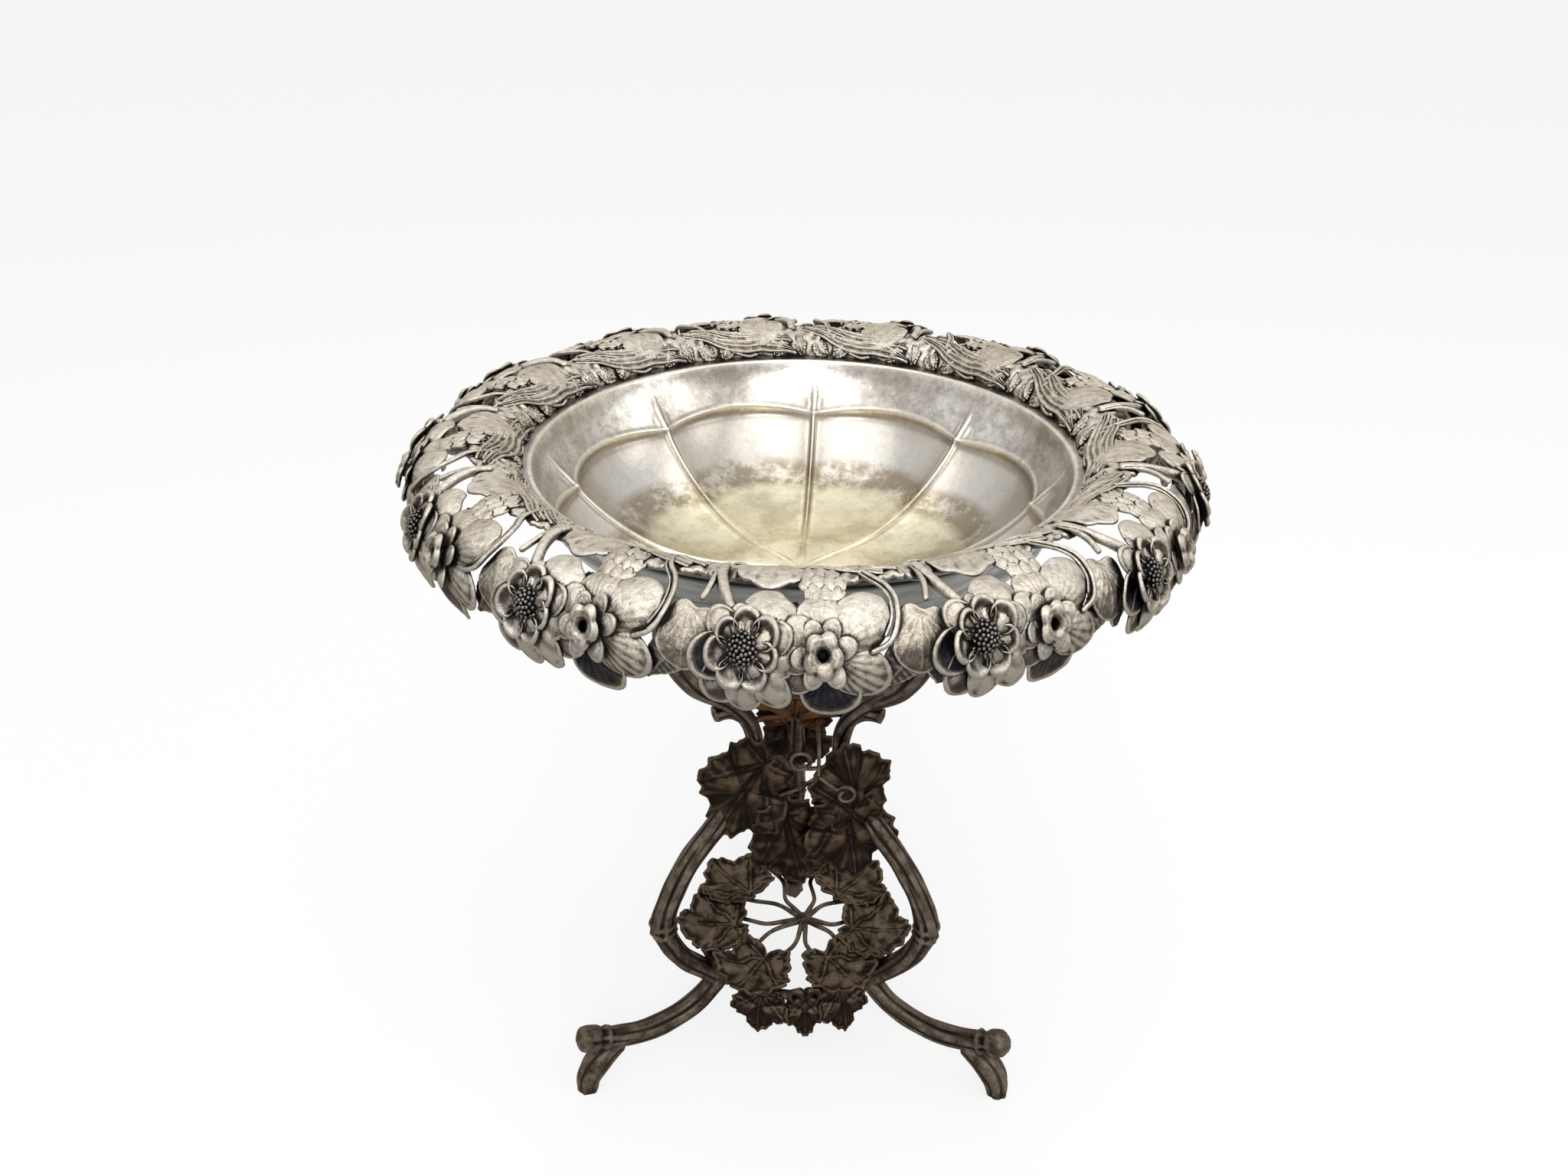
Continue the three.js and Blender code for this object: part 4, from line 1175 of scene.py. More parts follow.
@dataclass(frozen=True)
class LaidLeaf:
    """Leaf that lies on the roll along a curved midrib.

    Attributes:
        places: Length, arc and lift of points on the midrib, from stem to tip.
        half_width: Greatest distance from midrib to edge.
        outline: Kind of outline.
        thickness: Thickness of the blade.
        rib: Height of the midrib.
        cup: Rise of the edges over the midrib.
        veins: Number of side veins.
        vein_depth: Depth of the side veins.
        ragged: Depth of the teeth as a share of the width.
        curl: Rise of the tip.
        flow: Depth of the lines that run along it.
        dark: Share of painted navy reflection and shade inside the edges.
        steps: Rows from stem to tip.
        across: Columns from edge to edge.
    """

    places: tuple[Spot, ...]
    half_width: float
    outline: Outline = Outline.OVATE
    thickness: float = 1.2
    rib: float = 0.5
    cup: float = -0.7
    veins: int = 7
    vein_depth: float = 0.12
    ragged: float = 0.0
    curl: float = 0.0
    flow: float = 0.0
    dark: float = 0.0
    steps: int = 34
    across: int = 16

    def widths(self, along: Numbers) -> Numbers:
        """Half widths along the leaf.

        Args:
            along: Shares of the way from stem to tip.

        Returns:
            Half widths there.
        """
        if self.outline is Outline.OVATE:
            share = np.sin(np.pi * np.clip(along, 0, 0.995) ** 0.82) ** 0.72
        else:
            share = (0.4 + 0.6 * ease(along, 0, 0.5)) * (1 - 0.8 * ease(along, 0.72, 1))
        return self.half_width * np.maximum(share, 0.05)

    def build(self, roll: Roll) -> Body:
        """Makes the leaf on a roll.

        Args:
            roll: Roll that it lies on.

        Returns:
            The leaf.
        """
        line = smooth_route(self.places, self.steps)
        along = np.linspace(0, 1, self.steps + 1)[:, None]
        across = np.linspace(-1, 1, self.across + 1)[None]
        run = unit(np.gradient(line[:, :2], axis=0))
        side = np.stack([-run[:, 1], run[:, 0]], -1)
        teeth = 1 + self.ragged * np.abs(across) ** 3 * np.sin(along * np.pi * 2 * (self.veins + 2))
        offset = self.widths(along) * across * teeth
        flat = line[:, None, :2] + side[:, None] * offset[..., None]
        lift = line[:, 2][:, None] + self.rib * bell(offset, 0.6) + self.cup * across**2
        slant = np.cos(2 * np.pi * (self.veins * along - 0.9 * np.abs(across)))
        veined = self.vein_depth * slant * np.sin(np.pi * np.clip(along, 0, 1))
        lift = lift + veined * ease(np.abs(across), 0, 0.3)
        lift = lift + self.flow * np.cos(2.2 * np.pi * across + 0.8 * along)
        lift = lift + self.curl * ease(along, 0.7, 1.0) + 0.3 * ease(np.abs(across), 0.84, 1)
        lift = lift + 0.18 * ripples(np.dstack([flat, lift]), 9, 5)
        tint = self.dark * (1 - ease(np.abs(across), 0.8, 0.95)) + 0 * along
        return sheet(roll.place(flat[..., 0], flat[..., 1], lift), self.thickness, tint=tint)


@dataclass(frozen=True)
class Blade:
    """Leaf blade about its middle, with folded lobes and raised veins.

    Attributes:
        length: Length along the way to the tip.
        width: Width.
        lobes: Headings in degrees from the tip, each with the share of the half size reached there.
        veins: Headings of the veins.
        root: Share of the half length from the middle back to where the veins spring.
        cup: Depth of the edge under the middle.
        fold: Rise and fall of the edge, a wave for each fifth of the way round.
        puff: Rise of the panels between the veins.
        rim: Rise of the rolled edge.
        ridge: Height of the veins.
        teeth: Depth of the teeth as a share of the reach.
        seed: Number of its crinkle.
        sectors: Points round it.
        rings: Rings from its middle to its edge.
        soften: Sectors either way over which the outline is rounded.
        vein_reach: How far the veins go, as a share of the half size.
        held_thickness: Thickness where it stands free.
        laid_thickness: Thickness where it lies on a roll.
    """

    length: float
    width: float
    lobes: tuple[Pair, ...]
    veins: tuple[float, ...]
    root: float = 0.55
    cup: float = 2.0
    fold: float = 0.9
    puff: float = 0.9
    rim: float = 0.9
    ridge: float = 0.6
    teeth: float = 0.025
    seed: int = 1
    sectors: int = 144
    rings: int = 22
    soften: int = 4
    vein_reach: float = 0.92
    held_thickness: float = 1.4
    laid_thickness: float = 1.1

    def surface(self) -> tuple[Numbers, Numbers, Numbers]:
        """Shape of the blade about its middle, as sectors by rings.

        Returns:
            Distances towards the tip, distances to its side, and heights.
        """
        turn = np.linspace(0, 360, self.sectors, endpoint=False)
        headings, reaches = zip(*self.lobes)
        edge = np.interp(turn, headings, reaches, period=360)
        shifts = range(-self.soften, self.soften + 1)
        edge = sum(np.roll(edge, shift) for shift in shifts) / len(shifts)
        edge = edge * (1 - self.teeth * np.abs(np.sin(np.radians(turn) * 13 + self.seed)))
        angle = np.radians(turn)[:, None]
        share = np.linspace(0.04, 1, self.rings)[None] ** 0.85
        reach = share * edge[:, None]
        along, aside = self.length / 2 * reach * np.cos(angle), self.width / 2 * reach * np.sin(angle)
        start = -self.root * self.length / 2
        nearest = np.full_like(along, 99.0)
        ridge = np.zeros_like(along)
        for heading in self.veins:
            turned = math.radians(heading)
            ahead = self.length / 2 * math.cos(turned) * self.vein_reach - start
            end = np.array([ahead, self.width / 2 * math.sin(turned) * self.vein_reach])
            run = float(np.linalg.norm(end))
            way = end / run
            on = np.clip((along - start) * way[0] + aside * way[1], 0, run)
            away = np.hypot(along - start - on * way[0], aside - on * way[1])
            nearest = np.minimum(nearest, away)
            ridge = np.maximum(ridge, self.ridge * bell(away, 0.6) * (1 - 0.5 * on / run))
        spot = np.stack([along, aside, 0 * along], -1)
        rise = ridge + self.puff * (1 - bell(nearest, 2.6)) * (1 - 0.6 * share)
        rise = rise + self.fold * np.cos(5 * angle) * share + self.rim * ease(share, 0.88, 1.0)
        rise = rise + 0.35 * ripples(spot, 11, self.seed) * ease(share, 0.1, 0.8) - self.cup * share**2
        return along, aside, rise

    def held(self, middle: Spot, tip: Spot, face: Spot) -> Body:
        """Makes the blade about a point in space.

        Args:
            middle: Middle of the blade.
            tip: Way from the middle to the tip.
            face: Way that the blade faces.

        Returns:
            The blade.
        """
        along, aside, rise = self.surface()
        forward = unit(np.array(tip, float))
        out = np.array(face, float)
        out = unit(out - forward * (out @ forward))
        beside = np.cross(forward, out)
        parts = along[..., None] * forward + aside[..., None] * beside + rise[..., None] * out
        return sheet(np.array(middle, float) + parts, self.held_thickness, wrap=True, pole=True)

    def laid(self, roll: Roll, middle: Pair, heading: float, lift: float) -> Body:
        """Makes the blade on a roll.

        Args:
            roll: Roll.
            middle: Length and arc of the middle.
            heading: Way to the tip, in degrees from the right towards the crest.
            lift: Height off the roll.

        Returns:
            The blade.
        """
        along, aside, rise = self.surface()
        grid = roll.drawn(middle, heading, along, -aside, lift + rise)
        return sheet(grid, self.laid_thickness, wrap=True, pole=True)


@dataclass
class BeadedFlower:
    """Flower with a dome of beads in curled cups, over larger petals."""

    roll: Roll
    middle: Pair = (-18.1, 9.3)
    bead_radius: float = 0.72
    beads: int = 44
    dome_radius: float = 4.3
    dome_lift: float = 4.0
    dome_rise: float = 3.2
    cap_drop: float = 0.55
    bead_tint: float = 0.6

    def petals(self) -> list[Petal]:
        """Large outer petals, then the small cups round the beads.

        Returns:
            The petals.
        """
        broad = {"crown": 2.2, "ridges": 9, "ridge_depth": 0.04, "notch": 0.06, "rim": 0.3}
        scoop = {"crown": -0.9, "rim": 0.3, "thickness": 1.0}
        ridged = {"ridges": 7, "ridge_depth": 0.09, "crown": 1.5, "rim": 0.3}
        large = [
            Petal(51, 1.5, 18.5, 18.0, 3.4, 1.2, **broad),
            Petal(100, 2.0, 10.0, 6.5, 4.2, 3.2, crown=1.0, tilt=0.8, rim=0.5),
            Petal(140, 2.0, 12.5, 9.0, 3.6, 3.8, crown=1.0, tilt=-0.8, rim=0.6),
            Petal(196, 2.0, 14.5, 12.5, 3.5, 3.9, dark=0.95, **scoop),
            Petal(238, 2.0, 16.5, 13.0, 3.2, 3.4, dark=0.35, **scoop),
            Petal(272, 2.0, 17.5, 11.5, 3.6, 3.2, **ridged),
            Petal(308, 2.0, 18.5, 11.0, 3.8, 3.6, **ridged),
            Petal(346, 2.0, 14.0, 11.0, 3.4, 3.6, **ridged),
            Petal(18, 3.0, 12.0, 9.0, 4.2, 4.6, crown=1.4, rim=0.5),
        ]
        lip = {"crown": -0.3, "rim": 1.7, "rim_width": 0.16, "dark": 0.12, "thickness": 1.3, "across": 26}
        cups = [
            Petal(heading, start, length, width, 3.6, lift - 0.7, **lip)
            for heading, start, length, width, lift in (
                (84, 3.0, 7.4, 8.6, 6.4),
                (32, 3.2, 8.4, 8.8, 7.0),
                (-12, 3.4, 7.0, 7.6, 6.4),
                (-62, 3.2, 7.6, 8.4, 6.6),
                (-118, 3.2, 7.4, 8.4, 6.6),
                (-170, 3.4, 7.6, 8.8, 6.8),
                (140, 3.2, 6.4, 7.4, 6.2),
            )
        ]
        return large + cups

    def dome(self) -> list[Body]:
        """Dome of beads on a smooth cap.

        Returns:
            The beads, and the cap under them.
        """
        order = np.arange(self.beads)
        out = self.dome_radius * np.sqrt((order + 0.4) / self.beads)
        turn = order * GOLDEN_TURN
        rise = self.dome_lift + self.dome_rise * np.sqrt(1.04 - (out / self.dome_radius) ** 2)
        centres = self.roll.drawn(self.middle, 0, out * np.cos(turn), out * np.sin(turn), rise)
        turns = np.linspace(2 * np.pi, 0, 24, endpoint=False)[:, None]
        share = np.linspace(0.05, 1, 8)[None]
        out = self.dome_radius * share
        rise = self.dome_lift - self.cap_drop + self.dome_rise * np.sqrt(1.02 - share**2) + 0 * turns
        cap = self.roll.drawn(self.middle, 0, out * np.cos(turns), out * np.sin(turns), rise)
        beads = balls(centres, self.bead_radius)
        # The beads take part of the navy; the cap between them is painted full navy as shade.
        beads.tint = np.full(len(beads.points), self.bead_tint)
        return [beads, sheet(cap, 1.0, wrap=True, pole=True, tint=1.0)]

    def build(self) -> Body:
        """Makes the flower."""
        return merged([petal.build(self.roll, self.middle) for petal in self.petals()] + self.dome())


@dataclass
class BorderCasting:
    """One repeat of the border: leaf strip, stems, leaves, acanthus tuft and trumpet flower."""

    roll: Roll
    repeats: int
    inner_arc: float = 50.7
    outer_arc: float = 35.0
    strip_thickness: float = 1.7
    joint: float = 0.1
    mouth: Pair = (4.7, 8.6)

    def strip(self) -> Body:
        """Inner strip of the casting, with flowing lines along it and an uneven edge.

        Returns:
            The strip.
        """
        girth = self.roll.girth(self.repeats)
        length = np.linspace(-girth / 2 + self.joint, girth / 2 - self.joint, 110)[:, None]
        turn = 2 * np.pi * length / girth
        share = np.linspace(0, 1, 26)[None]
        inner = self.inner_arc + 2.4 + 0.7 * np.sin(3 * turn + 0.4) + 0.3 * np.sin(8 * turn)
        outer = self.outer_arc - 0.9 * np.cos(5 * turn + 1.0) - 0.5 * np.abs(np.sin(9 * turn))
        outer = outer - 0.6 * np.sin(2 * turn)
        arc = outer + (inner - outer) * share
        lift = 0.09 * np.cos(2 * np.pi * (arc - 3.4 * np.sin(turn + 0.6) - 1.2 * np.sin(3 * turn)) / 4.6)
        waves = ripples(np.dstack([length + 0 * arc, arc, lift]), 7, 3)
        lift = lift + 0.9 * np.sin(np.pi * share) + 0.35 * waves
        return sheet(self.roll.place(length, arc, lift), self.strip_thickness)

    def fan_leaf(self) -> Body:
        """Broad shell-shaped leaf of fine lines, from the strip out over the crest.

        Returns:
            The leaf.
        """
        shape = {"crown": 0.9, "ridges": 15, "ridge_depth": 0.05, "rim": 0.35}
        shape.update({"scallops": 5, "steps": 24, "across": 60, "thickness": 1.1})
        fan = Petal(-92, 0, 22.5, 27.0, 0.8, 1.1, **shape)
        return fan.build(self.roll, (-11.6, 50.2))

    def inner_leaves(self) -> list[LaidLeaf]:
        """Scroll leaves and small toothed leaves along the inner edge.

        Returns:
            The leaves, scrolls first.
        """
        scroll = {"outline": Outline.SCROLL, "veins": 0, "vein_depth": 0.0, "flow": 0.3, "rib": 0.0}
        scroll.update({"cup": -0.3, "curl": 0.2})
        toothed = {"ragged": 0.24, "veins": 5, "vein_depth": 0.1, "rib": 0.3, "cup": -0.5}
        upper = ((34, 39.0, 0.9), (24, 42.6, 1.3), (12, 47.4, 1.5), (0, 49.4, 1.5))
        upper += ((-12, 49.0, 1.4), (-24, 50.6, 1.3), (-33, 52.4, 0.9))
        lower = ((28, 37.0, 0.9), (18, 39.4, 1.2), (6, 43.4, 1.4))
        lower += ((-6, 44.6, 1.4), (-18, 44.4, 1.2), (-30, 46.6, 0.9))
        return [
            LaidLeaf(upper, 2.7, steps=70, **scroll),
            LaidLeaf(lower, 2.3, steps=70, **scroll),
            LaidLeaf(((10, 49.6, 0.9), (1, 51.4, 1.2), (-8, 52.8, 0.9)), 2.0, **scroll),
            LaidLeaf(((-25, 45.4, 1.0), (-22, 50.4, 1.4), (-20, 53.8, 1.1)), 4.2, **toothed),
            LaidLeaf(((-33, 45.0, 0.8), (-35.5, 50.4, 1.2), (-36.5, 53.4, 0.9)), 3.0, **toothed),
            LaidLeaf(((9, 47.5, 1.0), (11.5, 51.2, 1.3), (13.5, 54.0, 1.1)), 3.6, **toothed),
            LaidLeaf(((26, 47.0, 0.9), (23.5, 51.0, 1.2), (20, 53.6, 0.9)), 3.0, **toothed),
        ]

    def tuft(self) -> list[Body]:
        """Knobbly acanthus tuft that reaches from the strip to the trumpet flower.

        Returns:
            Its knobs.
        """
        knobs = (
            (0.6, 38.5, -70, 1.6), (5.2, 39.5, -90, 2.0), (9.8, 38.0, -112, 1.6),
            (-1.2, 34.0, -60, 1.3), (3.4, 33.8, -80, 2.2), (8.4, 33.2, -98, 2.2), (12.0, 33.0, -122, 1.4),
            (1.6, 29.6, -72, 1.5), (6.4, 28.6, -92, 2.0), (10.8, 28.4, -116, 1.5),
        )
        shape = {"crown": 1.1, "ridges": 3, "rim": 0.25, "steps": 10, "across": 16}
        return [
            Petal(heading, 0, 8.0, 6.8, lift * 0.6, 0.7, **shape).build(self.roll, (length, arc))
            for length, arc, heading, lift in knobs
        ]

    def stems(self) -> list[Body]:
        """Stems of the beaded flower, the wide leaf and the trumpet flower.

        Returns:
            The stems.
        """
        beaded = [(-30.0, 40, 0.5), (-29.4, 33, 0.6), (-27.2, 27, 0.8)]
        beaded += [(-23.4, 20.2, 1.6), (-20.4, 14, 3.0)]
        heart = [(-31.0, 40, 0.6), (-31.3, 32, 0.8), (-31.8, 27, 1.0), (-33.2, 21.6, 1.4)]
        trumpet = [(19.4, 41, 0.8), (22.6, 33.6, 0.9), (26.6, 28.6, 1.1), (28.4, 23.6, 1.6)]
        trumpet += [(27.5, 16.4, 2.4), (24.5, 11.0, 2.8), (18.6, 8.4, 2.4)]
        beside = [(17.6, 41, 0.6), (21.0, 33.0, 0.7), (24.9, 28.0, 0.9), (26.6, 23.4, 1.3)]
        beside += [(25.8, 17.0, 2.0), (23.2, 12.4, 2.4)]
        made = []
        for places, radius in ((beaded, 1.8), (heart, 1.0), (trumpet, 0.85), (beside, 0.5)):
            route = [self.roll.place(*place) for place in places]
            made.append(tube(route, radius, 12, 46, self.stem_grooves))
        return made

    @staticmethod
    def stem_grooves(angle: Numbers, run: Numbers) -> Numbers:
        """Height of the shallow grooves of a stem, by angle and distance."""
        return 0.1 * np.cos(4 * angle + run * 0.25)

    def leaves(self) -> list[Body]:
        """Wide heart-shaped leaf, the striped leaf behind it and the small leaves under the flowers.

        Returns:
            The heart-shaped leaf, then the others.
        """
        lobes = (
            (354, 1.07), (29, 0.96), (64, 0.90), (84, 0.84), (118, 0.82), (149, 1.0), (169, 0.99),
            (190, 0.76), (200, 0.86), (216, 1.03), (230, 1.02), (250, 0.81), (291, 0.72), (331, 0.93),
        )
        smooth = {"root": 0.72, "cup": 1.3, "fold": 0.15, "puff": 0.5, "rim": 0.25}
        smooth.update({"teeth": 0.0, "seed": 4, "ridge": 0.3})
        heart = Blade(21.0, 21.0, lobes, (0, 48, -48, 84, -84), **smooth)
        striped = {"veins": 12, "vein_depth": 0.16, "dark": 0.4}
        laid = [
            LaidLeaf(((-35, 13, -1.4), (-41.5, 4.5, -0.4), (-49.0, -5.0, -0.9)), 6.2, **striped),
            LaidLeaf(((-4.0, 24, -0.8), (-3.6, 10, 0.2), (-2.4, -5, -0.6)), 6.0, veins=9, dark=0.5),
            LaidLeaf(((-30.0, 16, -1.2), (-30.6, 5, -0.4), (-30.0, -5, -1.0)), 5.4, veins=9, dark=0.7),
        ]
        return [heart.laid(self.roll, (-36.5, 11.5), -94, 1.5), *(leaf.build(self.roll) for leaf in laid)]

    def petals(self) -> list[Petal]:
        """Petals of the trumpet flower, then the frills under its mouth.

        Returns:
            The petals.
        """
        fine = {"ridges": 17, "ridge_depth": 0.08, "across": 60, "rim": 0.3}
        grooved = {"ridges": 15, "ridge_depth": 0.11, "across": 56, "rim": 0.35}
        petals = [
            Petal(36, 1.5, 23.5, 17.5, 1.3, 1.4, crown=2.5, **fine),
            Petal(82, 1.0, 16.6, 19.0, 2.3, 0.7, crown=1.8, notch=0.04, **fine),
            Petal(-27, 2.0, 20.5, 15.5, 1.5, 1.2, crown=1.8, **grooved),
            Petal(-77, 2.0, 21.0, 17.5, 2.2, 1.8, crown=-1.0, dark=1.0, **{**grooved, "rim": 0.4}),
            Petal(-136, 2.5, 12.0, 9.4, 3.4, 3.0, crown=-0.3, rim=0.4, thickness=1.2),
            Petal(-172, 3.0, 9.4, 8.4, 4.0, 3.8, crown=0.8, rim=0.35, thickness=1.2),
            Petal(142, 3.0, 10.5, 9.0, 3.6, 3.6, crown=1.2, rim=0.3),
        ]
        frilled = {"crown": 0.6, "rim": 0.3, "thickness": 1.2, "steps": 12, "across": 20}
        frills = [
            Petal(heading, 2.2, length, 5.6, 3.2, 5.2, **frilled)
            for heading, length in ((14, 7.6), (66, 7.0), (118, 6.6), (188, 6.8), (246, 7.2), (304, 7.6))
        ]
        return petals + frills

    def trumpet(self) -> list[Body]:
        """Trumpet flower: petals, frills and a ruffled mouth of five lobes, whose closed middle is painted
        navy as the shade of a small hole.

        Returns:
            Petals and frills, then the mouth.
        """
        made = [petal.build(self.roll, self.mouth) for petal in self.petals()]
        turn = np.linspace(2 * np.pi, 0, 60, endpoint=False)[:, None]
        share = np.linspace(0, 1, 22)[None]
        knots = (0, 0.2, 0.4, 0.6, 0.8, 1)
        reaches = (0.4, 1.2, 1.4, 2.4, 3.9, 5.0)
        rises = (3.0, 3.2, 6.2, 7.6, 8.0, 6.9)
        lobes = np.abs(np.cos(2.5 * turn + 0.4))
        out = np.interp(share, knots, reaches) * (1 + (0.26 * lobes - 0.1) * share**2)
        lift = np.interp(share, knots, rises) + 0.5 * (lobes - 0.5) * share
        grid = self.roll.drawn(self.mouth, 0, out * np.cos(turn), out * np.sin(turn), lift)
        # Painted shade: the closed middle of the mouth is tinted navy as a hole.
        dark = 0.9 * (1 - ease(share, 0.25, 0.5)) + 0 * turn
        made.append(sheet(grid, 1.0, wrap=True, pole=True, tint=dark))
        return made

    def build(self) -> Body:
        """Makes the whole casting."""
        parts = [self.strip(), self.fan_leaf(), *self.tuft(), *self.stems(), *self.trumpet()]
        return merged(parts + self.leaves() + [leaf.build(self.roll) for leaf in self.inner_leaves()])


@dataclass
class FloralBorder:
    """The whole border: castings and beaded flowers all the way round."""

    roll: Roll
    repeats: int = 13

    def build(self) -> tuple[Body, Body]:
        """Makes one casting and one beaded flower."""
        return BorderCasting(self.roll, self.repeats).build(), BeadedFlower(self.roll).build()

    def dress(self, casting: Body, flower: Body, material: Material) -> None:
        """Turns the casting and the flower to their places.

        Args:
            casting: Casting at the front.
            flower: Beaded flower at the front.
            material: Finish.
        """
        step = 360 / self.repeats
        around = [part.turned(step * k) for k in (-1, 0, 1) for part in (casting, flower)]
        for kind, body in (("border_casting", casting), ("beaded_flower", flower)):
            shade = shades(body.points, body.normals(), around, reach=9)
            values = {"hollow": body.hollows(rounds=3, reach=0.14), "shade": shade}
            for k in range(self.repeats):
                number = f"{k + 1:02d}"
                name, node = f"{kind}_chased_{number}", f"{kind}_{number}"
                Piece(name, body.turned(step * k), Slot.BORDER, material, node, values).placed()


# The stand


def drawn(places: Sequence[Pair]) -> list[Spot]:
    """Points at the front from distances and heights."""
    return [(0.0, -radius, height) for radius, height in places]


def bend(start: Pair, end: Pair, shares: Sequence[Pair]) -> list[Pair]:
    """Places between two others, from shares of the way in distance and in height."""
    out, up = end[0] - start[0], end[1] - start[1]
    return [(start[0] + out * far, start[1] + up * high) for far, high in shares]


def curl(middle: Numbers, radius: float, start: float, turns: float) -> list[Numbers]:
    """Points of a curl that winds in towards a middle and comes forward.

    Args:
        middle: Middle of the curl.
        radius: Radius where it starts.
        start: Angle where it starts, in degrees.
        turns: Turns, negative clockwise.

    Returns:
        Points along the curl.
    """
    share = np.linspace(0, 1, 15)
    turn = np.radians(start + turns * 360 * share)
    reach = radius * (1 - 0.3 * share)
    points = [middle[0] + reach * np.cos(turn), middle[1] - 2.0 * share, middle[2] + reach * np.sin(turn)]
    return list(np.stack(points, -1))


@dataclass
class Branchwork:
    """Three leg branches with cut stubs, and three foot branches.

    A place is given as its distance from the axis and its height.
    """

    top_height: float
    neck_height: float = 165
    neck_radius: float = 21.5
    knee: Pair = (68.5, 81)
    heel: Pair = (43, 39)
    fork: Pair = (94, 25)
    tip: Pair = (113, 33.5)
    rest_radius: float = 110.5
    branch_radius: float = 4.9
    neck_branch_radius: float = 3.5
    neck_taper: float = 38
    top_radius: float = 61
    end_radius: float = 6.0
    stub_radius: float = 2.6
    bearings: dict[str, float] = field(default_factory=lambda: {"left": -60, "right": 60, "back": 180})

    @staticmethod
    def bark(phase: float) -> Callable[[Numbers, Numbers], Numbers]:
        """Long uneven grooves of a branch.

        Args:
            phase: Shift of the pattern.

        Returns:
            Function of angle and distance that gives heights.
        """

        def relief(angle: Numbers, run: Numbers) -> Numbers:
            """Height of the bark by angle and distance.

            Args:
                angle: Angles round the branch.
                run: Distances along it.

            Returns:
                Heights over its radius.
            """
            twist = angle + 0.25 * np.sin(run / 31 + phase)
            wide = 0.26 * np.cos(6 * twist + 0.7 * np.sin(run / 17))
            narrow = 0.14 * np.cos(11 * twist + run / 23 + phase)
            knots = 0.12 * np.sin(run / 6.5 + 3 * angle)
            return wide + narrow + knots + 0.10 * np.sin(run / 3.1 - 2 * angle + phase)

        return relief

    @property
    def neck(self) -> Pair:
        """Distance and height of the neck."""
        return self.neck_radius, self.neck_height

    @property
    def shoulder(self) -> Pair:
        """Distance and height of the bend under the bowl."""
        return self.top_radius, self.top_height - 12

    def under_neck(self, share: float) -> float:
        """Height at a share of the way from the neck down to the knee."""
        return self.neck_height + (self.knee[1] - self.neck_height) * share

    def leg(self) -> Body:
        """Leg branch from under the bowl through the neck and knee to the heel.

        Returns:
            The leg at the front, with its stub.
        """
        places = drawn([
            (self.top_radius, self.top_height),
            self.shoulder,
            *bend(self.shoulder, self.neck, [(0.29, 0.36), (0.68, 0.58), (0.92, 0.78)]),
            self.neck,
            *bend(self.neck, self.knee, [(0.07, 0.18), (0.29, 0.36), (0.72, 0.63), (0.96, 0.88)]),
            self.knee,
            *bend(self.knee, self.heel, [(0.1, 0.23), (0.33, 0.52)]),
            self.heel,
        ])
        line = smooth_route(places, ROUTE_STEPS)
        knee_run = run_lengths(line)[np.argmin(np.linalg.norm(line - drawn([self.knee])[0], axis=1))]

        def radius(run: Numbers, spots: Numbers) -> Numbers:
            """Radius with a slimmer neck, and a swelling with two rings at the knee.

            Args:
                run: Distances from the top.
                spots: Places on the middle line.

            Returns:
                Radii there.
            """
            near = np.clip(np.abs(spots[:, 2] - self.neck_height) / self.neck_taper, 0, 1)
            slim = (self.branch_radius - self.neck_branch_radius) * np.cos(np.pi / 2 * near)
            rings = sum(0.85 * bell(run - knee_run - shift, 1.1) for shift in (-2.3, 2.3))
            return self.branch_radius - slim + rings + 0.6 * bell(run - knee_run, 10)

        main = tube(places, radius, 36, 230, self.bark(0.4), 1.5)
        stub_route = [(0.11, 0.235), (0.25, 0.315), (0.39, 0.352), (0.50, 0.350)]

        def swelling(run: Numbers, spots: Numbers) -> Numbers:
            """Radius that swells to a thick rim at the cut end."""
            return self.stub_radius + 0.8 * ease(run, 6, 15)

        stub_places = drawn(bend(self.neck, self.shoulder, stub_route))
        stub = tube(stub_places, swelling, 28, 40, self.bark(2.0), 0.9)
        return merged([main, stub])

    def foot(self) -> Body:
        """Foot branch with a collared stub and a stub that rests on the table.

        Returns:
            The foot at the front, with its stub.
        """
        places = drawn([
            *bend(self.heel, self.fork, [(-0.06, 0.07), (0.18, 0.86), (0.45, 1.2), (0.76, 1.24)]),
            self.fork,
            self.tip,
        ])
        length = run_lengths(smooth_route(places, ROUTE_STEPS))[-1]

        def radius(run: Numbers, spots: Numbers) -> Numbers:
            """Radius with a ring collar behind a rounded end.

            Args:
                run: Distances from the heel.
                spots: Places on the middle line; not used.

            Returns:
                Radii there.
            """
            back = length - run
            collar = 0.95 * bell(back - 14.7, 1.2) - 0.35 * bell(back - 11.6, 1.5)
            knob = (self.end_radius - self.branch_radius) * (1 - ease(back, 8, 12))
            return self.branch_radius + collar + knob

        main = tube(places, radius, 36, 120, self.bark(1.2), 4.6)
        bottom = (self.rest_radius, -4.0)
        rest_places = drawn([*bend(self.fork, bottom, [(-0.1, 0.07), (0.52, 0.31), (0.88, 0.57)]), bottom])

        def rest_radius(run: Numbers, spots: Numbers) -> Numbers:
            """Radius that swells towards the table."""
            return self.branch_radius - 0.2 + 1.5 * np.sin(np.pi * np.clip(run / 30, 0, 1))

        rest = tube(rest_places, rest_radius, 32, 56, self.bark(3.1), 2.0)
        rest.points[:, 2] = np.maximum(rest.points[:, 2], 0)
        return merged([main, rest])

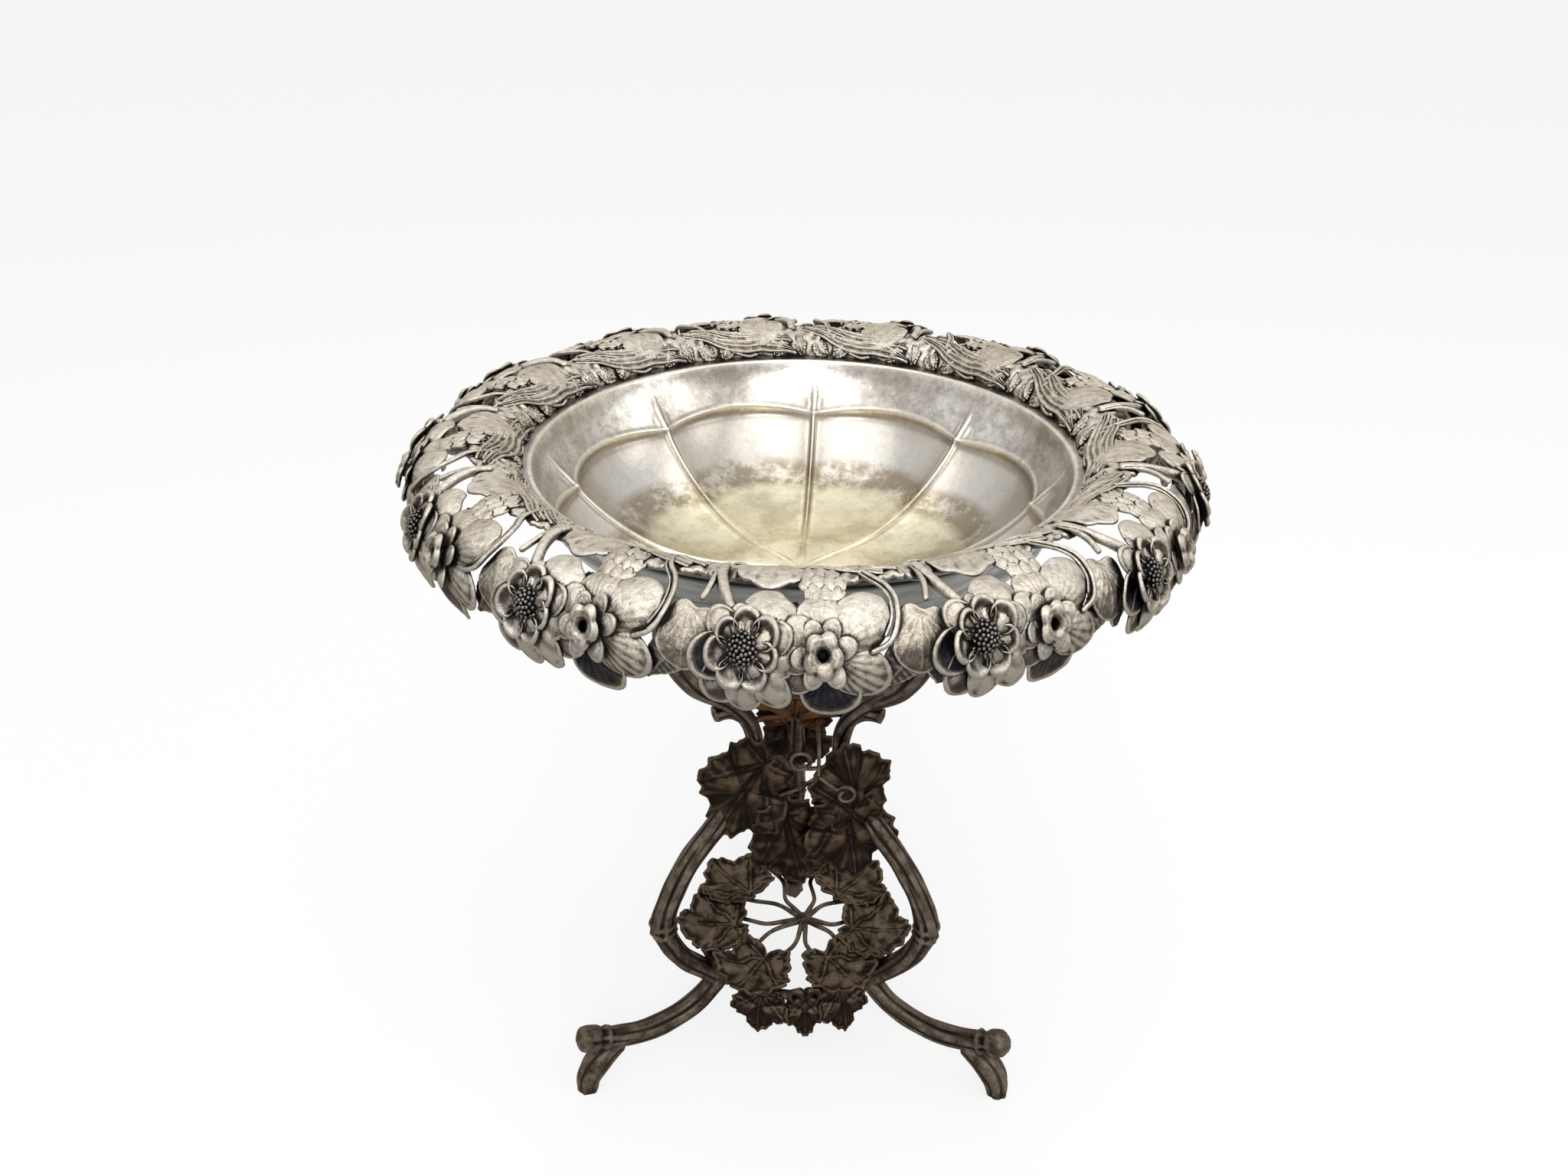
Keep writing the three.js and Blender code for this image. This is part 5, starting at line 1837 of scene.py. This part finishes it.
    def build(self) -> dict[str, Body]:
        """Makes the legs and feet by node name.

        Returns:
            Bodies by node name.
        """
        made = {}
        for kind, body in (("leg_branch", self.leg()), ("foot_branch", self.foot())):
            for side, bearing in self.bearings.items():
                made[f"{kind}_{side}"] = body.turned(bearing)
        return made


@dataclass
class VineLeaves:
    """Vine leaves that lie on the hoop, hang from it, and grow at the neck.

    Sizes of leaves are their length and width, and each row of a table multiplies them.
    """

    branchwork: Branchwork
    hoop_radius: float
    hoop_height: float
    ring_size: Pair = (35, 44)
    ring_in: float = 6.3
    ring_rise: float = 3.3
    hanging_size: Pair = (28, 26)
    hanging_out: float = 4.4
    hanging_drop: float = 6
    neck_size: Pair = (50, 42)
    stalk_radius: float = 1.45
    scroll_bearing: float = 6
    scroll_gap: float = 4.6
    veins: tuple[float, ...] = (0, 68, -68, 140, -140)
    edge: tuple[Pair, ...] = (
        (0, 1.08), (12, 0.96), (20, 1.0), (36, 0.80), (50, 0.97), (60, 0.93), (72, 1.08), (84, 0.93),
        (93, 0.99), (108, 0.80), (122, 0.95), (132, 0.90), (144, 1.04), (158, 0.90), (166, 0.92),
        (180, 0.66),
    )

    curled: ClassVar[dict[str, float]] = {"cup": -2.2, "rim": 0.9, "fold": 2.0, "puff": 1.7, "teeth": 0.06}
    drooping: ClassVar[dict[str, float]] = {"cup": 2.4, "rim": 0.8, "fold": 1.2, "puff": 1.6, "teeth": 0.06}
    folded: ClassVar[dict[str, float]] = {"cup": 3.0, "rim": 0.7, "fold": 2.0, "puff": 1.9, "teeth": 0.06}
    ring: tuple[tuple[str, float, float, float], ...] = (
        ("left", -84, 1, 1), ("right", 80, 1, 1), ("back_left", -131, 1, 0.9), ("back_right", 131, 1, 0.9),
        ("back", 178, 0.75, 0.7), ("front_left", -29, 0.95, 0.86), ("front_right", 34, 0.95, 0.86),
    )
    hanging: tuple[tuple[str, float, float, float], ...] = (
        ("hanging_left", -19, 0.85, 1.1), ("centre", 6, 0.9, 0.8), ("hanging_right", 28, 1, 1),
    )
    neck: tuple[tuple[str, Spot, Spot, Spot, Pair, Spot | None], ...] = (
        ("left", (-47, 1.42, 0.2), (-0.6, -0.1, -1), (-0.3, -1, 0.3), (1.06, 1.05), (-60, 1.14, 0.155)),
        ("right", (43, 1.62, 0.44), (0.15, -0.05, -1), (0.2, -1, 0.3), (0.93, 1.05), (60, 1.66, 0.365)),
        ("right_upper", (46, 1.56, 0.17), (-0.2, 0.1, 1), (0.3, -1, 0.2), (0.9, 0.92), (60, 1.07, 0.083)),
        ("hanging", (-5, 1.2, 0.49), (0.2, 0.05, -1), (0.1, -1, 0.3), (1.0, 0.92), (-60, 1.44, 0.3)),
        ("top", (-5, 0.52, -0.19), (0.1, -0.3, 1), (0, -1, 0.2), (0.46, 1), (-60, 1.14, -0.16)),
        ("back", (180, 1.53, 0.31), (0.1, 0.4, -1), (0, 1, 0.3), (0.92, 0.9), None),
    )

    def blade(self, size: Pair, longer: float, wider: float, seed: int, **shape: float) -> Blade:
        """Blade of five shallow lobes, notched at its stalk."""
        lobes = self.edge + tuple((360 - heading, reach) for heading, reach in self.edge[-2:0:-1])
        return Blade(size[0] * longer, size[1] * wider, lobes, self.veins, seed=seed, soften=1, **shape)

    def about_neck(self, place: Spot) -> Numbers:
        """Point from a bearing, a multiple of the neck's radius and a share of the way to the knee.

        Args:
            place: Bearing, multiple of the neck's radius and share of the way.

        Returns:
            Point in the frame.
        """
        bearing, out, down = place
        work = self.branchwork
        return at_bearing(bearing, out * work.neck_radius, work.under_neck(down))

    def build(self) -> dict[str, Body]:
        """Makes the leaves by node name.

        Returns:
            Bodies by node name.
        """
        made = {}
        for seed, (name, bearing, longer, wider) in enumerate(self.ring):
            middle = at_bearing(bearing, self.hoop_radius - self.ring_in, self.hoop_height + self.ring_rise)
            blade = self.blade(self.ring_size, longer, wider, seed, **self.curled)
            made[f"wreath_leaf_{name}"] = blade.held(middle, at_bearing(bearing, 1, 0), (0, 0, 1))
        for seed, (name, bearing, longer, wider) in enumerate(self.hanging, 10):
            out, height = self.hoop_radius + self.hanging_out, self.hoop_height - self.hanging_drop
            blade = self.blade(self.hanging_size, longer, wider, seed, **self.drooping)
            tip, face = at_bearing(bearing, 0.3, -1), at_bearing(bearing, 1, 0.3)
            made[f"wreath_leaf_{name}"] = blade.held(at_bearing(bearing, out, height), tip, face)
        made["wreath_leaf_centre"] = merged([made["wreath_leaf_centre"], *self.scrolls()])
        for seed, (name, place, tip, face, (longer, wider), stalk) in enumerate(self.neck, 20):
            middle = self.about_neck(place)
            body = self.blade(self.neck_size, longer, wider, seed, **self.folded).held(middle, tip, face)
            if stalk:
                body = merged([body, self.stalk(middle, self.about_neck(stalk), face)])
            made[f"neck_leaf_{name}"] = body
        return made

    def scrolls(self) -> list[Body]:
        """Two round curls over the leaf at the front.

        Returns:
            The curls.
        """
        made = []
        for side in (-1, 1):
            bearing = self.scroll_bearing + self.scroll_gap * side
            middle = at_bearing(bearing, self.hoop_radius + 3.4, self.hoop_height + 3.6)
            places = [middle + [0.6 * side, 2.0, -9.0], *curl(middle, 3.0, 90 - 130 * side, 0.95 * side)]
            made.append(tube(places, 1.35, 14, 60, cap=1.0))
        return made

    def stalk(self, middle: Numbers, end: Numbers, face: Spot) -> Body:
        """Curved stalk from behind a blade to a branch.

        Args:
            middle: Middle of the blade.
            end: Place on the branch.
            face: Way that the blade faces.

        Returns:
            The stalk.
        """
        behind = middle - unit(np.array(face, float)) * 1.4
        between = (behind + end) / 2 + np.array([0, 0, 0.8])
        return tube([behind, between, end], self.stalk_radius, 12, 24)


@dataclass
class Wreath:
    """Hoop between the branches with a star of wavy twigs on it."""

    hoop_radius: float
    hoop_height: float = 50
    hoop_thickness: float = 2.4
    hub: Spot = (5, 0, 54.0)
    knob_size: Pair = (3.7, 2.8)
    twigs: int = 10
    twig_radius: float = 1.0
    twig_wave: float = 2.2

    def hoop(self) -> Body:
        """Round hoop with shallow grooves.

        Returns:
            The hoop.
        """
        around = np.linspace(0, 2 * np.pi, 140, endpoint=False)[:, None]
        turn = np.linspace(0, 2 * np.pi, 16, endpoint=False)[None]
        size = self.hoop_thickness + 0.2 * np.sin(9 * around + 2 * turn)
        radius = self.hoop_radius + size * np.cos(turn)
        grid = at_bearing(np.degrees(around), radius, self.hoop_height + size * np.sin(turn))
        index = np.arange(grid[..., 0].size).reshape(grid.shape[:2])
        ahead, beside = np.roll(index, -1, 0), np.roll(index, -1, 1)
        quads = np.stack([index, ahead, np.roll(ahead, -1, 1), beside], -1).reshape(-1, 4)
        return Body(grid.reshape(-1, 3), quads).facing_out()

    def star(self) -> Body:
        """Knob with wavy twigs that lie out to the hoop.

        Returns:
            The star.
        """
        hub = np.array(self.hub)
        parts = []
        for k in range(self.twigs):
            bearing = 360 * (k + 0.5) / self.twigs
            end = at_bearing(np.array(bearing), self.hoop_radius - 2.2, self.hoop_height + 0.8)
            way = end - hub
            wave = self.twig_wave if k % 2 == 0 else -self.twig_wave
            side = unit(np.array([way[1], -way[0], 0.0])) * wave
            places = [
                hub + way * 0.04,
                hub + way * 0.18 + side * 0.5,
                hub + way * 0.38 + side,
                hub + way * 0.7 - side,
                end,
            ]
            parts.append(tube(places, self.thinning, 12, 50, self.twig_grooves))
        turn = np.linspace(0, 2 * np.pi, 40, endpoint=False)[:, None]
        rise = np.radians(np.linspace(-80, 86, 16))[None]
        wide, high = self.knob_size
        out = wide * np.cos(rise) * (1 + 0.07 * np.cos(10 * turn) * np.cos(rise))
        knob = np.broadcast_arrays(out * np.cos(turn), out * np.sin(turn), high * np.sin(rise))
        parts.append(skin(np.stack(knob, -1) + hub))
        return merged(parts)

    def thinning(self, run: Numbers, spots: Numbers) -> Numbers:
        """Radius of a twig, thicker at the knob."""
        return self.twig_radius + 0.4 * bell(run, 8)

    @staticmethod
    def twig_grooves(angle: Numbers, run: Numbers) -> Numbers:
        """Height of the shallow grooves of a twig, by angle and distance."""
        return 0.1 * np.cos(3 * angle + run / 3)


@dataclass
class Tendrils:
    """Forked wire with two curls at the neck."""

    branchwork: Branchwork
    wire_radius: float = 0.95
    left_curl: float = 4.7
    right_curl: float = 3.9

    def at_neck(self, aside: float, out: float, down: float) -> Numbers:
        """Point to the right and to the front of the neck, some way down to the knee.

        Args:
            aside: Multiples of the neck's radius to the right.
            out: Multiples of it to the front.
            down: Share of the way down.

        Returns:
            Point in the frame.
        """
        work = self.branchwork
        return np.array([aside * work.neck_radius, -out * work.neck_radius, work.under_neck(down)])

    def build(self) -> Body:
        """Makes the stem, the arm and the two curls.

        Returns:
            All of it as one body.
        """
        at = self.at_neck
        fork = at(0.42, 1.16, 0.07)
        runs = [
            [at(0.37, 0.42, -0.19), at(0.42, 0.98, -0.095), at(0.42, 1.16, 0.095)],
            [fork, at(0.05, 1.16, 0.143), at(-0.37, 1.12, 0.2)],
            [at(0.42, 1.12, 0.024), *curl(at(0.05, 1.12, -0.024), self.left_curl, -60, 1.15)],
            [fork, *curl(at(0.98, 1.26, 0.155), self.right_curl, 150, -1.1)],
        ]
        return merged([tube(run, self.thinning, 10, 70) for run in runs])

    def thinning(self, run: Numbers, spots: Numbers) -> Numbers:
        """Radius of the wire, thinner towards its end."""
        return self.wire_radius * (1 - 0.15 * ease(run, 5, 30))


@dataclass
class Stand:
    """Everything under the bowl: branches, hoop, star, leaves and tendrils."""

    branchwork: Branchwork
    wreath: Wreath
    warm_leaf: str = "neck_leaf_top"
    branch_rays: int = 8
    leaf_rays: int = 10

    def build(self) -> dict[str, tuple[Body, Slot]]:
        """Makes every body of the stand by node name, with its slot.

        Returns:
            Bodies and slots by node name.
        """
        made = {name: (body, Slot.BRANCH) for name, body in self.branchwork.build().items()}
        made["wreath_hoop"] = (self.wreath.hoop(), Slot.BRANCH)
        made["twig_star"] = (self.wreath.star(), Slot.BRANCH)
        made["tendril_spray"] = (Tendrils(self.branchwork).build(), Slot.BRANCH)
        leaves = VineLeaves(self.branchwork, self.wreath.hoop_radius, self.wreath.hoop_height).build()
        leaves[self.warm_leaf].tint = np.ones(len(leaves[self.warm_leaf].points))
        made.update({name: (body, Slot.LEAF) for name, body in leaves.items()})
        return made

    def dress(self, materials: dict[Slot, Material]) -> None:
        """Places every body in its finish.

        Args:
            materials: Finishes by slot.
        """
        made = self.build()
        around = [body for body, _ in made.values()]
        for name, (body, slot) in made.items():
            rays = self.branch_rays if slot is Slot.BRANCH else self.leaf_rays
            shade = shades(body.points, body.normals(), around, reach=12, rays=rays)
            values = {"hollow": body.hollows(rounds=4, reach=0.16), "shade": shade}
            Piece(f"{name}_cast", body, slot, materials[slot], name, values).placed()


@dataclass
class Fixings:
    """Stud, plate, washer and nut under the bowl, whose solids are right as they are."""

    nodes: tuple[str, ...] = ("bowl_stud", "support_plate", "washer", "nut")

    def dress(self, material: Material) -> None:
        """Gives the solids their finish.

        Args:
            material: Finish.
        """
        for name in self.nodes:
            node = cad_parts[name]
            node.data.materials.clear()
            node.data.materials.append(material)
            log.info("%s: solid shown in %s", name, material.name)


# Light, camera and sizes


def standing(right: Numbers, up: Numbers, back: Numbers, place: Numbers) -> Matrix:
    """Matrix of a camera or lamp.

    Args:
        right: Way to its right.
        up: Way up.
        back: Way behind it.
        place: Place in metres.

    Returns:
        The matrix.
    """
    rows = np.eye(4)
    rows[:3] = np.stack([right, up, back, place], -1)
    return Matrix(rows.tolist())


@dataclass
class Studio:
    """Pale floor, white surround, soft lamps and the camera of the photograph."""

    photo_width: float = 2048
    focal_pixels: float = 1650
    sensor_width: float = 36
    target: Spot = (-6.59, 0.0, 237.36)
    distance: float = 523.6
    pitch: float = 29.03
    roll: float = 0.65
    floor_half: float = 12
    floor_colour: Colour = (0.92, 0.92, 0.91)
    floor_rough: float = 0.9
    floor_white: float = 0.74
    surround: float = 0.7
    lamp_aim: Spot = (0, 0, 0.2)

    def camera(self) -> None:
        """Makes the camera at the photograph's place."""
        pitch, roll = math.radians(self.pitch), math.radians(self.roll)
        back = np.array([0.0, -math.cos(pitch), math.sin(pitch)])
        right = np.array([1.0, 0.0, 0.0])
        up = np.cross(right, -back)
        tilted_right = right * math.cos(roll) + up * math.sin(roll)
        tilted_up = up * math.cos(roll) - right * math.sin(roll)
        data = bpy.data.cameras.new("photo_camera")
        data.sensor_width = self.sensor_width
        data.lens = self.focal_pixels * self.sensor_width / self.photo_width
        data.clip_start = 0.01
        made = bpy.data.objects.new("photo_camera", data)
        bpy.context.scene.collection.objects.link(made)
        place = (np.array(self.target) + back * self.distance) * MM
        made.matrix_world = standing(tilted_right, tilted_up, back, place)
        bpy.context.scene.camera = made

    def floor(self) -> None:
        """Makes the plain pale floor."""
        half = self.floor_half
        mesh = bpy.data.meshes.new("floor")
        corners = [(-half, -half, 0), (half, -half, 0), (half, half, 0), (-half, half, 0)]
        mesh.from_pydata(corners, [], [(0, 1, 2, 3)])
        made = bpy.data.objects.new("floor", mesh)
        bpy.context.scene.collection.objects.link(made)
        r = Recipe("pale_floor")
        r.shader.inputs["Base Color"].default_value = (*self.floor_colour, 1)
        r.shader.inputs["Roughness"].default_value = self.floor_rough
        seen = r.node("ShaderNodeLightPath", {}).outputs["Is Camera Ray"]
        share = r.node("ShaderNodeMath", {0: seen, 1: self.floor_white}, operation="MULTIPLY").outputs[0]
        white = r.node("ShaderNodeEmission", {"Color": (1, 1, 1, 1)}).outputs[0]
        blend = r.node("ShaderNodeMixShader", {0: share, 1: r.shader.outputs[0], 2: white}).outputs[0]
        r.links.new(blend, r.nodes["Material Output"].inputs["Surface"])
        mesh.materials.append(r.material)

    def world(self) -> None:
        """White surround for the camera and for gloss, softer for the light on the object."""
        world = bpy.data.worlds.new("surround")
        bpy.context.scene.world = world
        world.use_nodes = True
        nodes, links = world.node_tree.nodes, world.node_tree.links
        path = nodes.new("ShaderNodeLightPath")
        seen = path.outputs["Is Camera Ray"]
        for name in ("Is Glossy Ray", "Is Transmission Ray"):
            either = nodes.new("ShaderNodeMath")
            either.operation = "MAXIMUM"
            links.new(seen, either.inputs[0])
            links.new(path.outputs[name], either.inputs[1])
            seen = either.outputs[0]
        strength = nodes.new("ShaderNodeMapRange")
        strength.inputs[3].default_value = self.surround
        strength.inputs[4].default_value = 1.0
        links.new(seen, strength.inputs[0])
        background = nodes["Background"]
        background.inputs["Color"].default_value = (1, 1, 1, 1)
        links.new(strength.outputs[0], background.inputs["Strength"])

    def lamps(self) -> None:
        """Soft lamps: over the front, behind the camera, and a weaker one at the right."""
        for name, place, size, power in (
            ("soft_top", (-0.1, -0.5, 1.5), 1.5, 9.0),
            ("soft_front", (0.0, -1.7, 1.5), 0.8, 14.0),
            ("soft_right", (1.4, -0.4, 1.1), 0.9, 5.0),
        ):
            data = bpy.data.lights.new(name, "AREA")
            data.size = size
            data.energy = power
            made = bpy.data.objects.new(name, data)
            bpy.context.scene.collection.objects.link(made)
            back = unit(np.array(place) - np.array(self.lamp_aim))
            right = unit(np.cross([0, 0, 1], back))
            made.matrix_world = standing(right, np.cross(back, right), back, np.array(place))

    def build(self) -> None:
        """Makes camera, floor, surround and lamps."""
        bpy.context.scene.view_settings.view_transform = "Standard"
        self.camera()
        self.floor()
        self.world()
        self.lamps()


def height_of(node: str, top: bool) -> float:
    """Lowest or highest height of a node in millimetres."""
    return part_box(node)[int(top)][2] / MM


def hoop_radius(thickness: float) -> float:
    """Radius of the hoop's middle line, from its node's box."""
    low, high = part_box("wreath_hoop")
    return (high[0] - low[0]) / 2 / MM - thickness


def write_sizes() -> None:
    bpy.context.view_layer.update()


def main() -> None:
    """Builds every sub-assembly in order."""
    logging.basicConfig(level=logging.INFO, format="%(name)s %(message)s")
    Studio().build()
    branch_bronze = DarkBronze(
        "branch_dark_bronze",
        body=(0.019, 0.014, 0.010),
        rubbed=(0.20, 0.165, 0.13),
        rub=0.7,
    )
    leaf_bronze = DarkBronze(
        "leaf_dark_bronze",
        body=(0.009, 0.006, 0.004),
        rubbed=(0.11, 0.074, 0.046),
        dust=(0.17, 0.13, 0.09),
        rub=0.5,
    )
    materials = {Slot.BRANCH: branch_bronze.material(), Slot.LEAF: leaf_bronze.material()}
    floor_height = height_of("bowl", False) + LobedBowl.wall
    roll = Roll(centre_radius=BORDER_RADIUS, height=floor_height + BORDER_RISE)
    border = FloralBorder(roll)
    casting, flower = border.build()
    border.dress(casting, flower, CastSilver().material())
    inner = [casting.turned(360 / border.repeats * k) for k in range(border.repeats)]
    LobedBowl(roll, floor_height).dress(BowlSilver().material(), inner)
    wreath = Wreath(hoop_radius(Wreath.hoop_thickness))
    Stand(Branchwork(height_of("leg_branch_back", True)), wreath).dress(materials)
    Fixings().dress(TurnedBrass().material())
    write_sizes()


if __name__ == "__main__":
    main()
